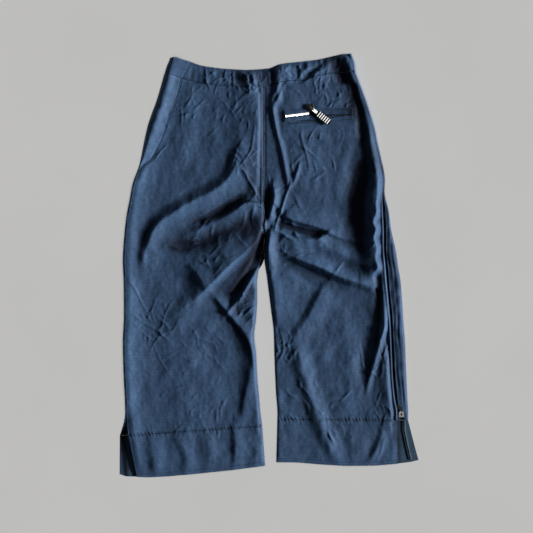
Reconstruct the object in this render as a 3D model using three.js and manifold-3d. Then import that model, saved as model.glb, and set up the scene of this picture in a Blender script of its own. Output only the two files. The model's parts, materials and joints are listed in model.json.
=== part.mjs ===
// Track pants laid flat on a table with their back up: cropped wide legs, side zip, zipped back pocket.
// Millimetres. +X is the wearer's right, +Y points to the waist, +Z up. The origin is mid-outline, on the table.

import * as THREE from 'three';
import { mergeVertices } from 'three/addons/utils/BufferGeometryUtils.js';
import Module from 'manifold-3d';

const wasm = await Module();
wasm.setup();

// Cloth, seams and how high the cloth lies
const CLOTH = 1.2;
const SEAM_GAP = 0.4;
const LOFT = 7;
const LOWEST_TOP = 3.2;
const LOWEST_UNDERSIDE = CLOTH + 0.3;
const EDGE_TOP = 3.2;
const EDGE_ROLL = 13;
const SEAM_BLEND = 15;
const CROTCH_Y = 85;
const CROTCH_FADE = 50;
const WAIST_SHARE = 1 / 6;
const THICKEST = 1.9;

// Shape of a turned-up side: its foot on the table, then shares of the way to the crest and on to the turn
const FOOT = { inward: 4, rise: 1.2, riseZ: 0.7 };
const SIDE_SHAPE = { edgeZ: 0.42, shoulder: 0.45, shoulderZ: 0.86, fall: 0.55, fallZ: 0.62 };

// Lips of the waistband and hems, which come down to top by share over the last of their rows
const WAIST_LIP = { top: 4.7, share: 0.7 };
const HEM_LIP = { top: 4, share: 0.6 };
const VENT_LIFT = { seam: 9, bottom: 6 };

// How finely the panels are divided
const PANEL_COLUMNS = 18;
const PANEL_ROWS = 34;
const FLOOR_COLUMNS = 4;
const BAND_DIVISIONS = 34;
const HEM_COLUMNS = 16;
const ZIP_STEPS = 22;
const FOLD_STEP = 7;

// Back pocket: the stitched place is flat, and its zip starts at the left end
const POCKET = { x: 34, y: 312, z: 9, angle: 1.8, length: 142 };
const POCKET_BAG = { low: 274, high: 374, left: 32, right: 178, fade: 14 };
const POCKET_TAPE = { width: 22, z: 0.3, thick: 0.6 };
const WELT = {
  z: 1.2, thick: 1.2,
  upper: [[-2, 3.4], [48, 8], [60, 8], [76, 2], [142, 0.7], [142, 13], [-2, 13]],
  lower: [[-2, -3.4], [-2, -12], [142, -12], [142, -0.7], [96, -2], [70, -3], [50, 1], [36, -0.4]],
};
const CHAIN = { start: 4, end: 50, width: 4.6, z: 1.2, thick: 1.3, angle: 5.5 };
const STOP = { length: 3.4, width: 5.6, thick: 2 };
const SLIDER = { x: 87, y: 330, width: 12, length: 16, z: 2.8, thick: 1.2, post: 1.1, cap: 1.9, capThick: 0.7 };
const PULL = { angle: -38.5, hinge: 6.8, z: 5.6, thick: 1.2, eye: 1.4, eyeOuter: 3, linkEnd: 17 };
const KNUCKLE = { outer: 1.3, bore: 0.8, pin: 0.5, length: 2.6, side: 0.3, tine: 1.2 };
const GRIP = { start: 17.3, length: 35, width: 13, thick: 4, z: 3, ribs: 6, ribWidth: 2.2, ribProud: 0.5 };

// Side zip: a tape under both edges with a raised coil, then the open vent
const ZIP = { half: 6, z: 2.9, thick: 0.9, coilHalf: 1.3, coilFoot: 1.6, coilTop: 4.7, top: 116, bottom: -300 };
const VENT_TAPE = { width: 8, z: 1.5, thick: 0.8, line: [[-326, 283], [-345, 283], [-375, 289], [-409, 297]] };
const SIDE_SLIDER = { x: 272.3, y: -296, width: 5.6, length: 10, z: 5.7, thick: 1.2 };
const SIDE_PULL = { x: 277.4, y: -304.6, z: 7.1, width: 10.4, length: 13.2, hole: [2.6, 1.7] };

// Leg sections from waist to hem. The front panel lies on the table out to edge, turns up to crest and ends at
// turn. The back panel runs from back (at seam height y) to inner, and its row sags by sag in the middle.
const LEG_COLUMNS = ['y', 'edge', 'crest', 'crestZ', 'turn', 'turnZ', 'back', 'backZ', 'inner', 'innerY', 'sag'];
const LEFT_LEG = sections(LEG_COLUMNS, [
  [391, -219.5, -207, 16, -185.4, 7.5, -185, 7.5, -12.9, 375.6, 7],
  [347, -233.5, -217, 16, -195.4, 7.5, -195, 7.5, -12.9, 347, 4],
  [303, -251.5, -235, 16, -212.4, 7.5, -212, 7.5, -13, 316, 0],
  [263, -261.5, -249, 15, -227.4, 7.5, -227, 7.5, -13.3, 280, 0],
  [226, -268.8, -262, 12.5, -246.4, 7, -246, 7, -13.4, 247, 0],
  [205, -274, -271, 10.5, -269, 10, -268.6, 10, -13.4, 220, 0],
  [173, -285.6, -283, 11, -281.9, 11.2, -281.5, 11.2, -14.6, 188, 0],
  [137, -292.5, -290, 11, -288.9, 11.2, -288.5, 11.2, -15.9, 147, 0],
  [108, -298.2, -295.6, 11, -294.4, 11.2, -294, 11.2, -12.6, 116, 0],
  [77, -302.2, -299.6, 11, -298.4, 11.2, -298, 11.2, -12.3, 85, 0],
  [41, -305.3, -302.7, 11, -301.4, 11.2, -301, 11.2, -15.8, 51, 0],
  [7, -306.6, -304, 11, -302.8, 11.2, -302.4, 11.2, -18.9, 7, 0],
  [-30, -305, -302.4, 11, -301.2, 11.2, -300.8, 11.2, -25, -30, 0],
  [-72, -304.5, -302, 11, -300.8, 11.2, -300.4, 11.2, -25, -72, 0],
  [-114, -304.5, -302, 11, -300.8, 11.2, -300.4, 11.2, -27.3, -110, 0],
  [-156, -306.6, -304, 11, -302.8, 11.2, -302.4, 11.2, -31.5, -148, 0],
  [-198, -306, -303.4, 11, -302.2, 11.2, -301.8, 11.2, -27.3, -188, 0],
  [-240, -304.5, -302, 11, -300.8, 11.2, -300.4, 11.2, -25, -232, 0],
  [-282, -302.4, -299.8, 11, -298.6, 11.2, -298.2, 11.2, -21, -278, 0],
  [-320, -302.8, -300.4, 8, -299.4, 8, -297.8, 9, -17.8, -312, 0],
  [-356, -313, -311.2, 3.6, -310, 3.9, -295, 9, -14.7, -336, 0],
]);
const RIGHT_LEG = sections(LEG_COLUMNS, [
  [405.4, 180.6, 178.4, 6.4, 177.2, 7, 176.8, 7, -12.1, 375.6, -3],
  [352, 201, 198.8, 6, 197.6, 6.6, 197.2, 6.6, -12.1, 346, 0],
  [322, 211, 208.6, 6, 207.4, 6.6, 207, 6.6, -12.2, 316, 0],
  [290, 221, 218.6, 6, 217.4, 6.6, 217, 6.6, -12.4, 284, 0],
  [256, 227.8, 225.4, 6, 224.2, 6.6, 223.8, 6.6, -12.6, 252, 0],
  [222, 235.6, 233.2, 6, 232, 6.6, 231.6, 6.6, -12.6, 220, 0],
  [186, 242.8, 240.6, 6, 239.4, 6.6, 238.8, 6.6, -13.8, 188, 0],
  [150, 242.6, 240.6, 6, 239.8, 6.4, 238.6, 6.6, -15.1, 147, 0],
  [116, 250.6, 248.4, 6, 243.6, 5.8, 238.4, 6, -11.8, 116, 0],
  [75, 256.2, 252, 7, 245.4, 5.8, 240.4, 6, -11.3, 85, 0],
  [33, 265.6, 259, 7.6, 245.6, 5.8, 240.6, 6, -9.5, 44, 0],
  [1, 270.3, 264, 7.6, 248.2, 5.8, 243.2, 6, -9.5, 11, 0],
  [-30, 275.5, 269, 7.6, 250.4, 5.8, 245.4, 6, -4.8, -22, 0],
  [-72, 279, 272, 7.6, 254.6, 5.8, 249.6, 6, -1, -52, 0],
  [-114, 281.8, 275, 7.6, 258.6, 5.8, 253.6, 6, 4.5, -95, 0],
  [-156, 285, 278, 7.6, 260.8, 5.8, 255.8, 6, 9.5, -136, 0],
  [-198, 286.5, 280, 7.6, 262.8, 5.8, 257.8, 6, 11, -180, 0],
  [-240, 288.5, 282, 7.4, 264.9, 5.8, 259.9, 6, 12.6, -225, 0],
  [-282, 290.5, 284, 6.2, 269.2, 5.4, 264.2, 6, 14.7, -268, 0],
  [-303, 291.9, 286, 5.2, 274, 5, 268.6, 6, 17.5, -302, 0],
  [-324, 291.9, 289.6, 4.4, 286, 4.4, 268.6, 6, 17.5, -322, 0],
]);

// Curves across the waist, and the hem bands' corners
const WAIST_SEAM = [
  [-222, 402], [-195, 397], [-181, 391.4], [-160, 385], [-136, 380], [-113, 378], [-73, 375.4], [-40, 375.6],
  [-12.5, 376], [12, 381], [36, 387], [71, 388.5], [88, 395], [109, 400], [130, 404], [157, 405], [185, 406],
];
const WAIST_TOP = [
  [-208, 435], [-195, 436], [-183, 431.6], [-166, 427.4], [-149, 421], [-132, 417], [-99, 412.7], [-48, 409.5],
  [-15, 411.6], [2, 413.7], [19, 421], [36, 424.2], [69, 427.4], [103, 431.6], [120, 435.6], [152, 443], [176, 444],
];
const FRONT_WAIST_DROP = 8;
const BAND_COLUMNS = ['edge', 'crest', 'crestZ', 'turn', 'turnZ', 'back'];
const BAND_ENDS = {
  left: sections(BAND_COLUMNS, [
    [-218.5, -206, 14, -181.4, 7.5, -181],
    [-214, -201, 14, -173.4, 7.5, -173],
    [-207.5, -197, 13, -166.4, 7.5, -166],
  ]),
  right: sections(BAND_COLUMNS, [
    [181, 178.6, 6.4, 177.4, 7, 177],
    [178.6, 176.2, 6.4, 175, 7, 174.6],
    [173, 170.6, 6.4, 169.4, 7, 169],
  ]),
};
const BAND_STEPS = [0, 0.33, 0.67, 1];
const HEM_STEPS = [0, 0.25, 0.5, 0.75, 1];
const HEMS = {
  left: {
    seam: [[-313, -357.3], [-14.7, -336]],
    bottom: [[-314, -438], [-300, -442.6], [-254, -444], [-212, -442], [-145, -436], [-78, -429], [-10, -420]],
    backLeft: [-294.6, -277], backRight: [-14.7, -8.4], frontLeft: [-313.2, -313.6], frontRight: [-14.7, -8.4],
  },
  right: {
    seam: [[17.5, -322], [268.6, -324], [292, -324.2]],
    bottom: [
      [15, -412.6], [57, -412.8], [107, -417], [160, -420], [225, -419.4], [272, -415.4], [296, -412.6], [314, -408.5],
    ],
    backLeft: [17.5, 15.2], backRight: [268.6, 271], frontLeft: [17.5, 15.2], frontRight: [292, 314],
  },
};

// Largest folds: how wide each falls to the left and right of its path, and the path as x, y and height. A path
// runs up the garment or across it, and left and right are as seen going along it.
const FOLDS = [
  // left thigh: the long fold, the one under the crotch and the broad one down to the inseam
  { left: 25, right: 48, path: [
    [-256, -28, 1], [-258, 22, 7], [-238, 76, 10], [-206, 102, 10], [-157, 130, 10], [-97, 164, 9], [-64, 207, 5],
    [-46, 262, 1]] },
  { left: 26, right: 36, path: [
    [-212, 40, 1], [-164, 50, 7], [-116, 80, 8], [-72, 107, 11], [-35, 124, 8], [-15, 116, 5]] },
  { left: 92, right: 50, path: [
    [-150, -62, 4], [-105, -24, 17], [-80, 0, 20], [-46, 42, 18], [-22, 90, 9], [-14, 112, 3]] },
  // left knee and shin
  { left: 18, right: 26, path: [
    [-52, -322, 1], [-42, -250, 5], [-38, -176, 6], [-58, -132, 8], [-98, -84, 7], [-118, -60, 3]] },
  { left: 20, right: 36, path: [[-130, -52, 4], [-140, -33, 8], [-152, -15, 7], [-168, 6, 2]] },
  { left: 34, right: 38, path: [[-214, -140, 1], [-190, -110, 4], [-168, -86, 6], [-147, -62, 6]] },
  // left side and seat
  { left: 16, right: 40, path: [[-293, -430, 2], [-297, -250, 5], [-297, 20, 5], [-288, 115, 5], [-256, 226, 2]] },
  { left: 100, right: 14, path: [[-24, 120, 2], [-24, 240, 5], [-22, 310, 5], [-24, 360, 3]] },
  // right seat and waist
  { left: 16, right: 52, path: [[2, 336, 2], [17, 370, 7], [22, 408, 8], [25, 424, 5]] },
  { left: 14, right: 40, path: [[46, 356, 3], [78, 385, 6], [113, 414, 5], [128, 428, 3]] },
  { left: 44, right: 14, path: [[212, 318, 2], [190, 366, 9], [176, 404, 11], [166, 442, 7]] },
  // right thigh: the upper crest, the lower one and the ridge beside the zip
  { left: 38, right: 14, path: [[20, 96, 3], [70, 90, 7], [135, 64, 8], [184, 42, 4]] },
  { left: 36, right: 16, path: [[50, 16, 3], [90, 6, 10], [150, -22, 11], [216, -46, 4]] },
  { left: 46, right: 18, path: [
    [232, -42, 3], [224, 20, 15], [225, 100, 17], [233, 160, 17], [232, 222, 9], [216, 300, 3], [210, 320, 2]] },
  // right knee, shin and hem
  { left: 20, right: 46, path: [[54, -150, 2], [80, -112, 5], [108, -60, 5], [120, -38, 3]] },
  { left: 26, right: 32, path: [[146, -420, 3], [116, -352, 6], [86, -270, 6], [65, -188, 5], [60, -158, 2]] },
  { left: 16, right: 18, path: [[205, -264, 1], [222, -196, 5], [243, -92, 10], [243, -52, 12], [238, 12, 5]] },
  { left: 16, right: 24, path: [[206, -418, 2], [234, -366, 4], [238, -336, 2]] },
];

// Colours and finishes
const NAVY = new THREE.MeshStandardMaterial({ color: 0x34465e, roughness: 0.85, metalness: 0 });
const INSIDE = new THREE.MeshStandardMaterial({ color: 0x2f4357, roughness: 0.7, metalness: 0 });
const TAPE = new THREE.MeshStandardMaterial({ color: 0x1c2836, roughness: 0.8, metalness: 0 });
const METAL = new THREE.MeshStandardMaterial({ color: 0xd8dcdc, roughness: 0.3, metalness: 1 });
const BRONZE = new THREE.MeshStandardMaterial({ color: 0x4a4438, roughness: 0.4, metalness: 1 });
const RUBBER = new THREE.MeshStandardMaterial({ color: 0x14161a, roughness: 0.6, metalness: 0 });

const pants = new THREE.Group();

// Small helpers
const clamp01 = (t) => Math.min(1, Math.max(0, t));
const mix = (a, b, t) => a + (b - a) * t;
const ease = (t) => clamp01(t) ** 2 * (3 - 2 * clamp01(t));
const roll = (t) => Math.sqrt(1 - (1 - clamp01(t)) ** 2);
const radians = (degrees) => degrees * Math.PI / 180;

// Rows of a table as objects with named columns
function sections(columns, rows) {
  return rows.map((row) => Object.fromEntries(columns.map((column, i) => [column, row[i]])));
}

// Value of a curve of [x, value] points at x
function along(curve, x) {
  let i = 1;
  while (i < curve.length - 1 && curve[i][0] < x) i++;
  const [before, after] = [curve[i - 1], curve[i]];
  return mix(before[1], after[1], clamp01((x - before[0]) / (after[0] - before[0])));
}

// One row of a section table at fraction t of its rows, smoothly between its neighbours
function sectionAt(table, t) {
  const place = clamp01(t) * (table.length - 1);
  const i = Math.min(table.length - 2, Math.floor(place));
  const [a, b, c, d] = [i - 1, i, i + 1, i + 2].map((k) => table[Math.min(table.length - 1, Math.max(0, k))]);
  const f = place - i;
  const row = {};
  for (const key of Object.keys(b)) {
    const curve = 2 * b[key] + (c[key] - a[key]) * f + (2 * a[key] - 5 * b[key] + 4 * c[key] - d[key]) * f * f
      + (3 * b[key] - a[key] - 3 * c[key] + d[key]) * f * f * f;
    row[key] = curve / 2;
  }
  return row;
}

// Fold paths as short straight steps
const foldLines = FOLDS.map((fold) => {
  const curve = new THREE.CatmullRomCurve3(fold.path.map(([x, y, h]) => new THREE.Vector3(x, y, h)));
  const points = curve.getPoints(Math.ceil(curve.getLength() / FOLD_STEP));
  return { ...fold, points };
});

// Height that one fold adds at (x, y)
function foldHeight(fold, x, y) {
  let best = Infinity;
  let side = 0;
  let height = 0;
  for (let i = 1; i < fold.points.length; i++) {
    const a = fold.points[i - 1];
    const b = fold.points[i];
    const [dx, dy] = [b.x - a.x, b.y - a.y];
    const t = clamp01(((x - a.x) * dx + (y - a.y) * dy) / (dx * dx + dy * dy));
    const [ox, oy] = [x - a.x - t * dx, y - a.y - t * dy];
    const distance = Math.hypot(ox, oy);
    if (distance >= best) continue;
    best = distance;
    side = dx * oy - dy * ox;
    height = mix(a.z, b.z, t);
  }
  return height * (1 - ease(best / (side > 0 ? fold.left : fold.right)));
}

// Top of the back's cloth away from its edges
function clothHeight(x, y) {
  let z = LOFT;
  for (const fold of foldLines) z += foldHeight(fold, x, y);
  const { low, high, left, right, fade } = POCKET_BAG;
  const inX = ease((x - left) / fade + 1) * ease((right - x) / fade + 1);
  const inY = ease((y - low) / fade + 1) * ease((high - y) / fade + 1);
  return mix(Math.max(LOWEST_TOP, z), POCKET.z, inX * inY);
}

// A mesh with merged vertices, faces out, added to the garment
function add(name, material, geometry, parent = pants) {
  for (const extra of ['normal', 'uv']) geometry.deleteAttribute(extra);
  const mesh = new THREE.Mesh(mergeVertices(geometry, 1e-3), material);
  mesh.name = name;
  parent.add(mesh);
  return mesh;
}

// A closed wall from rows of top and bottom points
function wallGeometry(rows) {
  const wide = rows[0].top.length;
  const position = rows.flatMap((row) => [...row.top, ...row.bottom].flatMap((p) => [p.x, p.y, p.z]));
  const at = (row, column, under) => row * 2 * wide + (under ? wide : 0) + column;
  const index = [];
  const quad = (a, b, c, d) => index.push(a, b, c, a, c, d);
  for (let r = 0; r < rows.length - 1; r++) {
    for (let c = 0; c < wide - 1; c++) {
      quad(at(r, c), at(r + 1, c), at(r + 1, c + 1), at(r, c + 1));
      quad(at(r, c, true), at(r, c + 1, true), at(r + 1, c + 1, true), at(r + 1, c, true));
    }
    quad(at(r, 0), at(r, 0, true), at(r + 1, 0, true), at(r + 1, 0));
    quad(at(r, wide - 1), at(r + 1, wide - 1), at(r + 1, wide - 1, true), at(r, wide - 1, true));
  }
  const last = rows.length - 1;
  for (let c = 0; c < wide - 1; c++) {
    quad(at(0, c), at(0, c + 1), at(0, c + 1, true), at(0, c, true));
    quad(at(last, c), at(last, c, true), at(last, c + 1, true), at(last, c + 1));
  }
  const geometry = new THREE.BufferGeometry();
  geometry.setAttribute('position', new THREE.Float32BufferAttribute(position, 3));
  geometry.setIndex(signedVolume(position, index) < 0 ? index.reverse() : index);
  return geometry;
}

function signedVolume(position, index) {
  const corner = (i) => new THREE.Vector3().fromArray(position, 3 * index[i]);
  let volume = 0;
  for (let i = 0; i < index.length; i += 3) volume += corner(i).dot(corner(i + 1).cross(corner(i + 2)));
  return volume;
}

// The under side of a top row: straight down by the cloth's thickness, more where the cloth is steep
function underside(row, neighbours) {
  return row.map((p, c) => {
    const beside = row[c + 1] ?? row[c - 1];
    const across = (beside.z - p.z) / Math.hypot(beside.x - p.x, beside.y - p.y);
    const next = neighbours[c];
    const down = (next.z - p.z) / Math.hypot(next.x - p.x, next.y - p.y);
    const thickness = CLOTH * Math.min(THICKEST, Math.sqrt(1 + across * across + down * down));
    return new THREE.Vector3(p.x, p.y, Math.max(LOWEST_UNDERSIDE, p.z - thickness));
  });
}

function clothRows(rows) {
  return rows.map((top, r) => ({ top, bottom: underside(top, rows[r + 1] ?? rows[r - 1]) }));
}

// The inside of a front section that runs along the table towards side (1 or -1 along X), one cloth thickness in.
// A turned-up end is cut square, straight down.
function inside(outer, side) {
  return outer.map((p, c) => {
    const before = outer[Math.max(0, c - 1)];
    const after = outer[Math.min(outer.length - 1, c + 1)];
    if ((before === p || after === p) && p.z > 0) return new THREE.Vector3(p.x, p.y, p.z - CLOTH);
    const length = Math.hypot(after.x - before.x, after.z - before.z);
    const inward = [(before.z - after.z) * side / length, (after.x - before.x) * side / length];
    return new THREE.Vector3(p.x + inward[0] * CLOTH, p.y, p.z + inward[1] * CLOTH);
  });
}

// Turned-up side of a front panel, from the table round the edge to the end of the turn, with y worked out from x
function turnedSide(row, yAt) {
  const out = Math.sign(row.edge - row.back);
  const point = (x, z) => new THREE.Vector3(x, yAt(x), z);
  const { shoulder, fall } = SIDE_SHAPE;
  return [
    point(row.edge - out * FOOT.inward, 0),
    point(row.edge - out * FOOT.rise, FOOT.riseZ),
    point(row.edge, row.crestZ * SIDE_SHAPE.edgeZ),
    point(mix(row.edge, row.crest, shoulder), row.crestZ * SIDE_SHAPE.shoulderZ),
    point(row.crest, row.crestZ),
    point(mix(row.crest, row.turn, fall), mix(row.crestZ, row.turnZ, SIDE_SHAPE.fallZ)),
    point(row.turn, row.turnZ),
  ];
}

// Panels of one leg
function backPanel(name, table) {
  const rows = [];
  for (let r = 0; r <= PANEL_ROWS; r++) {
    const section = sectionAt(table, r / PANEL_ROWS);
    const row = [];
    for (let c = 0; c <= PANEL_COLUMNS; c++) {
      const u = c / PANEL_COLUMNS;
      const x = mix(section.back, section.inner, u);
      const y = rowY(table, r / PANEL_ROWS, u, x);
      row.push(new THREE.Vector3(x, y, backHeight(section, x, y)));
    }
    rows.push(row);
  }
  add(name, NAVY, wallGeometry(clothRows(rows)));
}

// How far up a leg's row lies at fraction u across it, with the first rows drawn to the waist seam
function rowY(table, t, u, x) {
  const lineY = (section) => mix(section.y, section.innerY, u) - section.sag * 4 * u * (1 - u);
  const toSeam = along(WAIST_SEAM, x) - SEAM_GAP - lineY(table[0]);
  return lineY(sectionAt(table, t)) + toSeam * ease(1 - t / WAIST_SHARE);
}

// The back's height with its side seam met and its inseam rolled down to the table
function backHeight(section, x, y) {
  const fromSide = Math.abs(x - section.back);
  const fromInseam = Math.abs(x - section.inner);
  const joined = mix(section.backZ, clothHeight(x, y), ease(fromSide / SEAM_BLEND));
  const rolled = mix(EDGE_TOP, joined, roll(fromInseam / EDGE_ROLL));
  return Math.max(LOWEST_TOP, mix(rolled, joined, ease((y - CROTCH_Y) / CROTCH_FADE + 0.5)));
}

function frontPanel(name, table) {
  const rows = [];
  for (let r = 0; r <= PANEL_ROWS; r++) {
    const section = sectionAt(table, r / PANEL_ROWS);
    const yAt = (x) => rowY(table, r / PANEL_ROWS, (x - section.back) / (section.inner - section.back), x);
    const side = turnedSide(section, yAt);
    const floor = [];
    for (let c = 0; c < FLOOR_COLUMNS; c++) {
      const x = mix(section.inner, side[0].x, c / FLOOR_COLUMNS);
      floor.push(new THREE.Vector3(x, yAt(x), 0));
    }
    const outer = [...floor, ...side];
    rows.push({ top: inside(outer, Math.sign(section.edge - section.inner)), bottom: outer });
  }
  add(name, NAVY, wallGeometry(rows));
}

// Waistband: the back band lies on the front band, whose two ends turn up
const bandY = (x, t, drop = 0) => mix(along(WAIST_SEAM, x) + SEAM_GAP, along(WAIST_TOP, x) - drop, t);

function backWaistband() {
  const rows = [];
  for (const t of BAND_STEPS) {
    const left = sectionAt(BAND_ENDS.left, t);
    const right = sectionAt(BAND_ENDS.right, t);
    const row = [];
    for (let c = 0; c <= BAND_DIVISIONS; c++) {
      const x = mix(left.back, right.back, c / BAND_DIVISIONS);
      const y = bandY(x, t);
      const ends = ease((x - left.back) / SEAM_BLEND) * ease((right.back - x) / SEAM_BLEND);
      const z = mix(mix(left.turnZ, right.turnZ, c / BAND_DIVISIONS), clothHeight(x, y), ends);
      row.push(new THREE.Vector3(x, y, mix(z, WAIST_LIP.top, ease(t * 3 - 2) * WAIST_LIP.share)));
    }
    rows.push(row);
  }
  add('waistband_back', NAVY, wallGeometry(clothRows(rows)));
}

function frontWaistband() {
  const rows = BAND_STEPS.map((t) => {
    const [leftSide, rightSide] = [BAND_ENDS.left, BAND_ENDS.right]
      .map((ends) => turnedSide(sectionAt(ends, t), (x) => bandY(x, t)));
    const floor = [];
    for (let c = 1; c < FLOOR_COLUMNS * 2; c++) {
      const x = mix(leftSide[0].x, rightSide[0].x, c / (FLOOR_COLUMNS * 2));
      const middle = ease(c / 3) * ease((FLOOR_COLUMNS * 2 - c) / 3);
      floor.push(new THREE.Vector3(x, bandY(x, t, FRONT_WAIST_DROP * middle), 0));
    }
    const outer = [...leftSide.reverse(), ...floor, ...rightSide];
    return { top: inside(outer, 1), bottom: outer };
  });
  add('waistband_front', NAVY, wallGeometry(rows));
}

// Hem bands: the back one lies on the front one, which reaches out at the vent
function hemRows(hem, ends, height) {
  const rows = [];
  for (const t of HEM_STEPS) {
    const row = [];
    for (let c = 0; c <= HEM_COLUMNS; c++) {
      const x = mix(mix(...ends[0], t), mix(...ends[1], t), c / HEM_COLUMNS);
      const y = mix(along(hem.seam, x) - SEAM_GAP, along(hem.bottom, x), t);
      row.push(new THREE.Vector3(x, y, height(x, y, c / HEM_COLUMNS, t)));
    }
    rows.push(row);
  }
  return rows;
}

function hemBands(side, ventFirst) {
  const hem = HEMS[side];
  const backTop = (x, y, u, t) => {
    const width = Math.abs(hem.backRight[0] - hem.backLeft[0]);
    const fromVent = (ventFirst ? u : 1 - u) * width;
    const fromInseam = (ventFirst ? 1 - u : u) * width;
    const lift = mix(VENT_LIFT.seam, VENT_LIFT.bottom, ventFirst ? t : 1);
    const vent = mix(lift, clothHeight(x, y), ease(fromVent / SEAM_BLEND));
    const rolled = mix(EDGE_TOP, vent, roll(fromInseam / EDGE_ROLL));
    return mix(rolled, HEM_LIP.top, ease(t * 4 - 3) * HEM_LIP.share);
  };
  add(`hem_back_${side}`, NAVY, wallGeometry(clothRows(hemRows(hem, [hem.backLeft, hem.backRight], backTop))));
  const flat = hemRows(hem, [hem.frontLeft, hem.frontRight], () => 0);
  const raised = (p) => new THREE.Vector3(p.x, p.y, CLOTH);
  add(`hem_front_${side}`, INSIDE, wallGeometry(flat.map((row) => ({ top: row.map(raised), bottom: row }))));
}

// A strip of a given section polygon swept down the side zip
function zipX(y) {
  const below = RIGHT_LEG.filter((row) => row.y <= ZIP.top);
  const curve = below.map((row) => [-row.y, (row.turn + row.back) / 2]);
  return along(curve, -y);
}

function sideZip() {
  const rows = [];
  for (let i = 0; i <= ZIP_STEPS; i++) {
    const y = mix(ZIP.top, ZIP.bottom, i / ZIP_STEPS);
    const x = zipX(y);
    const section = [
      [-ZIP.half, 0], [-ZIP.coilFoot, 0], [-ZIP.coilHalf, 1], [ZIP.coilHalf, 1], [ZIP.coilFoot, 0], [ZIP.half, 0],
    ];
    const height = (raised) => raised ? ZIP.coilTop : ZIP.z + ZIP.thick;
    rows.push({
      top: section.map(([dx, raised]) => new THREE.Vector3(x + dx, y, height(raised))),
      bottom: section.map(([dx]) => new THREE.Vector3(x + dx, y, ZIP.z)),
    });
  }
  add('side_zip', TAPE, wallGeometry(rows));
}

// The front half of the open zip's tape lies on the front hem, out along its edge
function ventTape() {
  const rows = VENT_TAPE.line.map(([y, x]) => {
    const ends = [x - VENT_TAPE.width / 2, x + VENT_TAPE.width / 2];
    const lay = (z) => ends.map((edge) => new THREE.Vector3(edge, y, z));
    return { top: lay(VENT_TAPE.z + VENT_TAPE.thick), bottom: lay(VENT_TAPE.z) };
  });
  add('side_zip_open_tape', TAPE, wallGeometry(rows));
}

// Plates, discs and joins of the hard pieces
function plate(points, z, thickness, holes = []) {
  const shape = new THREE.Shape(points.map(([x, y]) => new THREE.Vector2(x, y)));
  for (const hole of holes) shape.holes.push(hole);
  const geometry = new THREE.ExtrudeGeometry(shape, { depth: thickness, bevelEnabled: false });
  return geometry.translate(0, 0, z);
}

function roundedRectangle(x0, y0, x1, y1, radius, steps = 4) {
  const points = [];
  const corners = [
    [x1 - radius, y1 - radius, 0], [x0 + radius, y1 - radius, 90],
    [x0 + radius, y0 + radius, 180], [x1 - radius, y0 + radius, 270],
  ];
  for (const [x, y, start] of corners) {
    for (let i = 0; i <= steps; i++) {
      const angle = radians(start + 90 * i / steps);
      points.push([x + radius * Math.cos(angle), y + radius * Math.sin(angle)]);
    }
  }
  return points;
}

const upright = (radius, height, z, segments = 20) =>
  new THREE.CylinderGeometry(radius, radius, height, segments).rotateX(Math.PI / 2).translate(0, 0, z + height / 2);
const acrossPin = (radius, length, x, z) =>
  new THREE.CylinderGeometry(radius, radius, length, 16).translate(x, 0, z);

function solid(geometry) {
  const bare = geometry.clone();
  for (const extra of ['normal', 'uv']) bare.deleteAttribute(extra);
  const merged = mergeVertices(bare, 1e-4);
  const triVerts = new Uint32Array(merged.index ? merged.index.array : [...merged.attributes.position.array.keys()]);
  return new wasm.Manifold(new wasm.Mesh({ numProp: 3, vertProperties: merged.attributes.position.array, triVerts }));
}

function geometryOf(manifold) {
  const mesh = manifold.getMesh();
  const geometry = new THREE.BufferGeometry();
  geometry.setAttribute('position', new THREE.BufferAttribute(mesh.vertProperties, 3));
  geometry.setIndex(new THREE.BufferAttribute(mesh.triVerts, 1));
  return geometry;
}

const join = (...parts) => geometryOf(parts.map(solid).reduce((a, b) => a.add(b)));

// A hinged puller in its own frame: the hinge pin lies along Y at x = 0 and the tab runs along +X
function puller(width, bodyStart, bodyEnd, thickness, holes = []) {
  const near = KNUCKLE.length / 2 + KNUCKLE.side;
  const far = near + KNUCKLE.tine;
  const body = plate(roundedRectangle(bodyStart, -width / 2, bodyEnd, width / 2, 1), -thickness / 2, thickness, holes);
  const tine = (side) => plate(
    roundedRectangle(-1, Math.min(side * near, side * far), bodyStart + 1, Math.max(side * near, side * far), 0.5),
    -thickness / 2, thickness);
  return join(body, tine(1), tine(-1), acrossPin(KNUCKLE.pin, 2 * near + 0.8, 0, 0));
}

function knuckle(x, z) {
  return solid(acrossPin(KNUCKLE.outer, KNUCKLE.length, x, z));
}

const knuckleBore = (x, z) => solid(acrossPin(KNUCKLE.bore, KNUCKLE.length + 2, x, z));

// Pocket on the right back: tape, two welts and the metal zip, in the pocket's own frame
function pocket() {
  const frame = new THREE.Group();
  frame.position.set(POCKET.x, POCKET.y, POCKET.z);
  frame.rotation.z = radians(POCKET.angle);
  pants.add(frame);
  const tape = roundedRectangle(-2, -POCKET_TAPE.width / 2, POCKET.length, POCKET_TAPE.width / 2, 1);
  add('pocket_zip_tape', TAPE, plate(tape, POCKET_TAPE.z, POCKET_TAPE.thick), frame);
  add('pocket_welt_upper', NAVY, plate(WELT.upper, WELT.z, WELT.thick), frame);
  add('pocket_welt_lower', NAVY, plate(WELT.lower, WELT.z, WELT.thick), frame);
  const chainOutline = roundedRectangle(CHAIN.start, -CHAIN.width / 2, CHAIN.end, CHAIN.width / 2, 1);
  const chain = plate(chainOutline, CHAIN.z, CHAIN.thick);
  add('pocket_zip_chain', METAL, chain, frame).rotation.z = radians(CHAIN.angle);
  const stop = plate(roundedRectangle(0, -STOP.width / 2, STOP.length, STOP.width / 2, 1), CHAIN.z, STOP.thick);
  add('pocket_end_stop', METAL, stop, frame).rotation.z = radians(CHAIN.angle);
}

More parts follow.
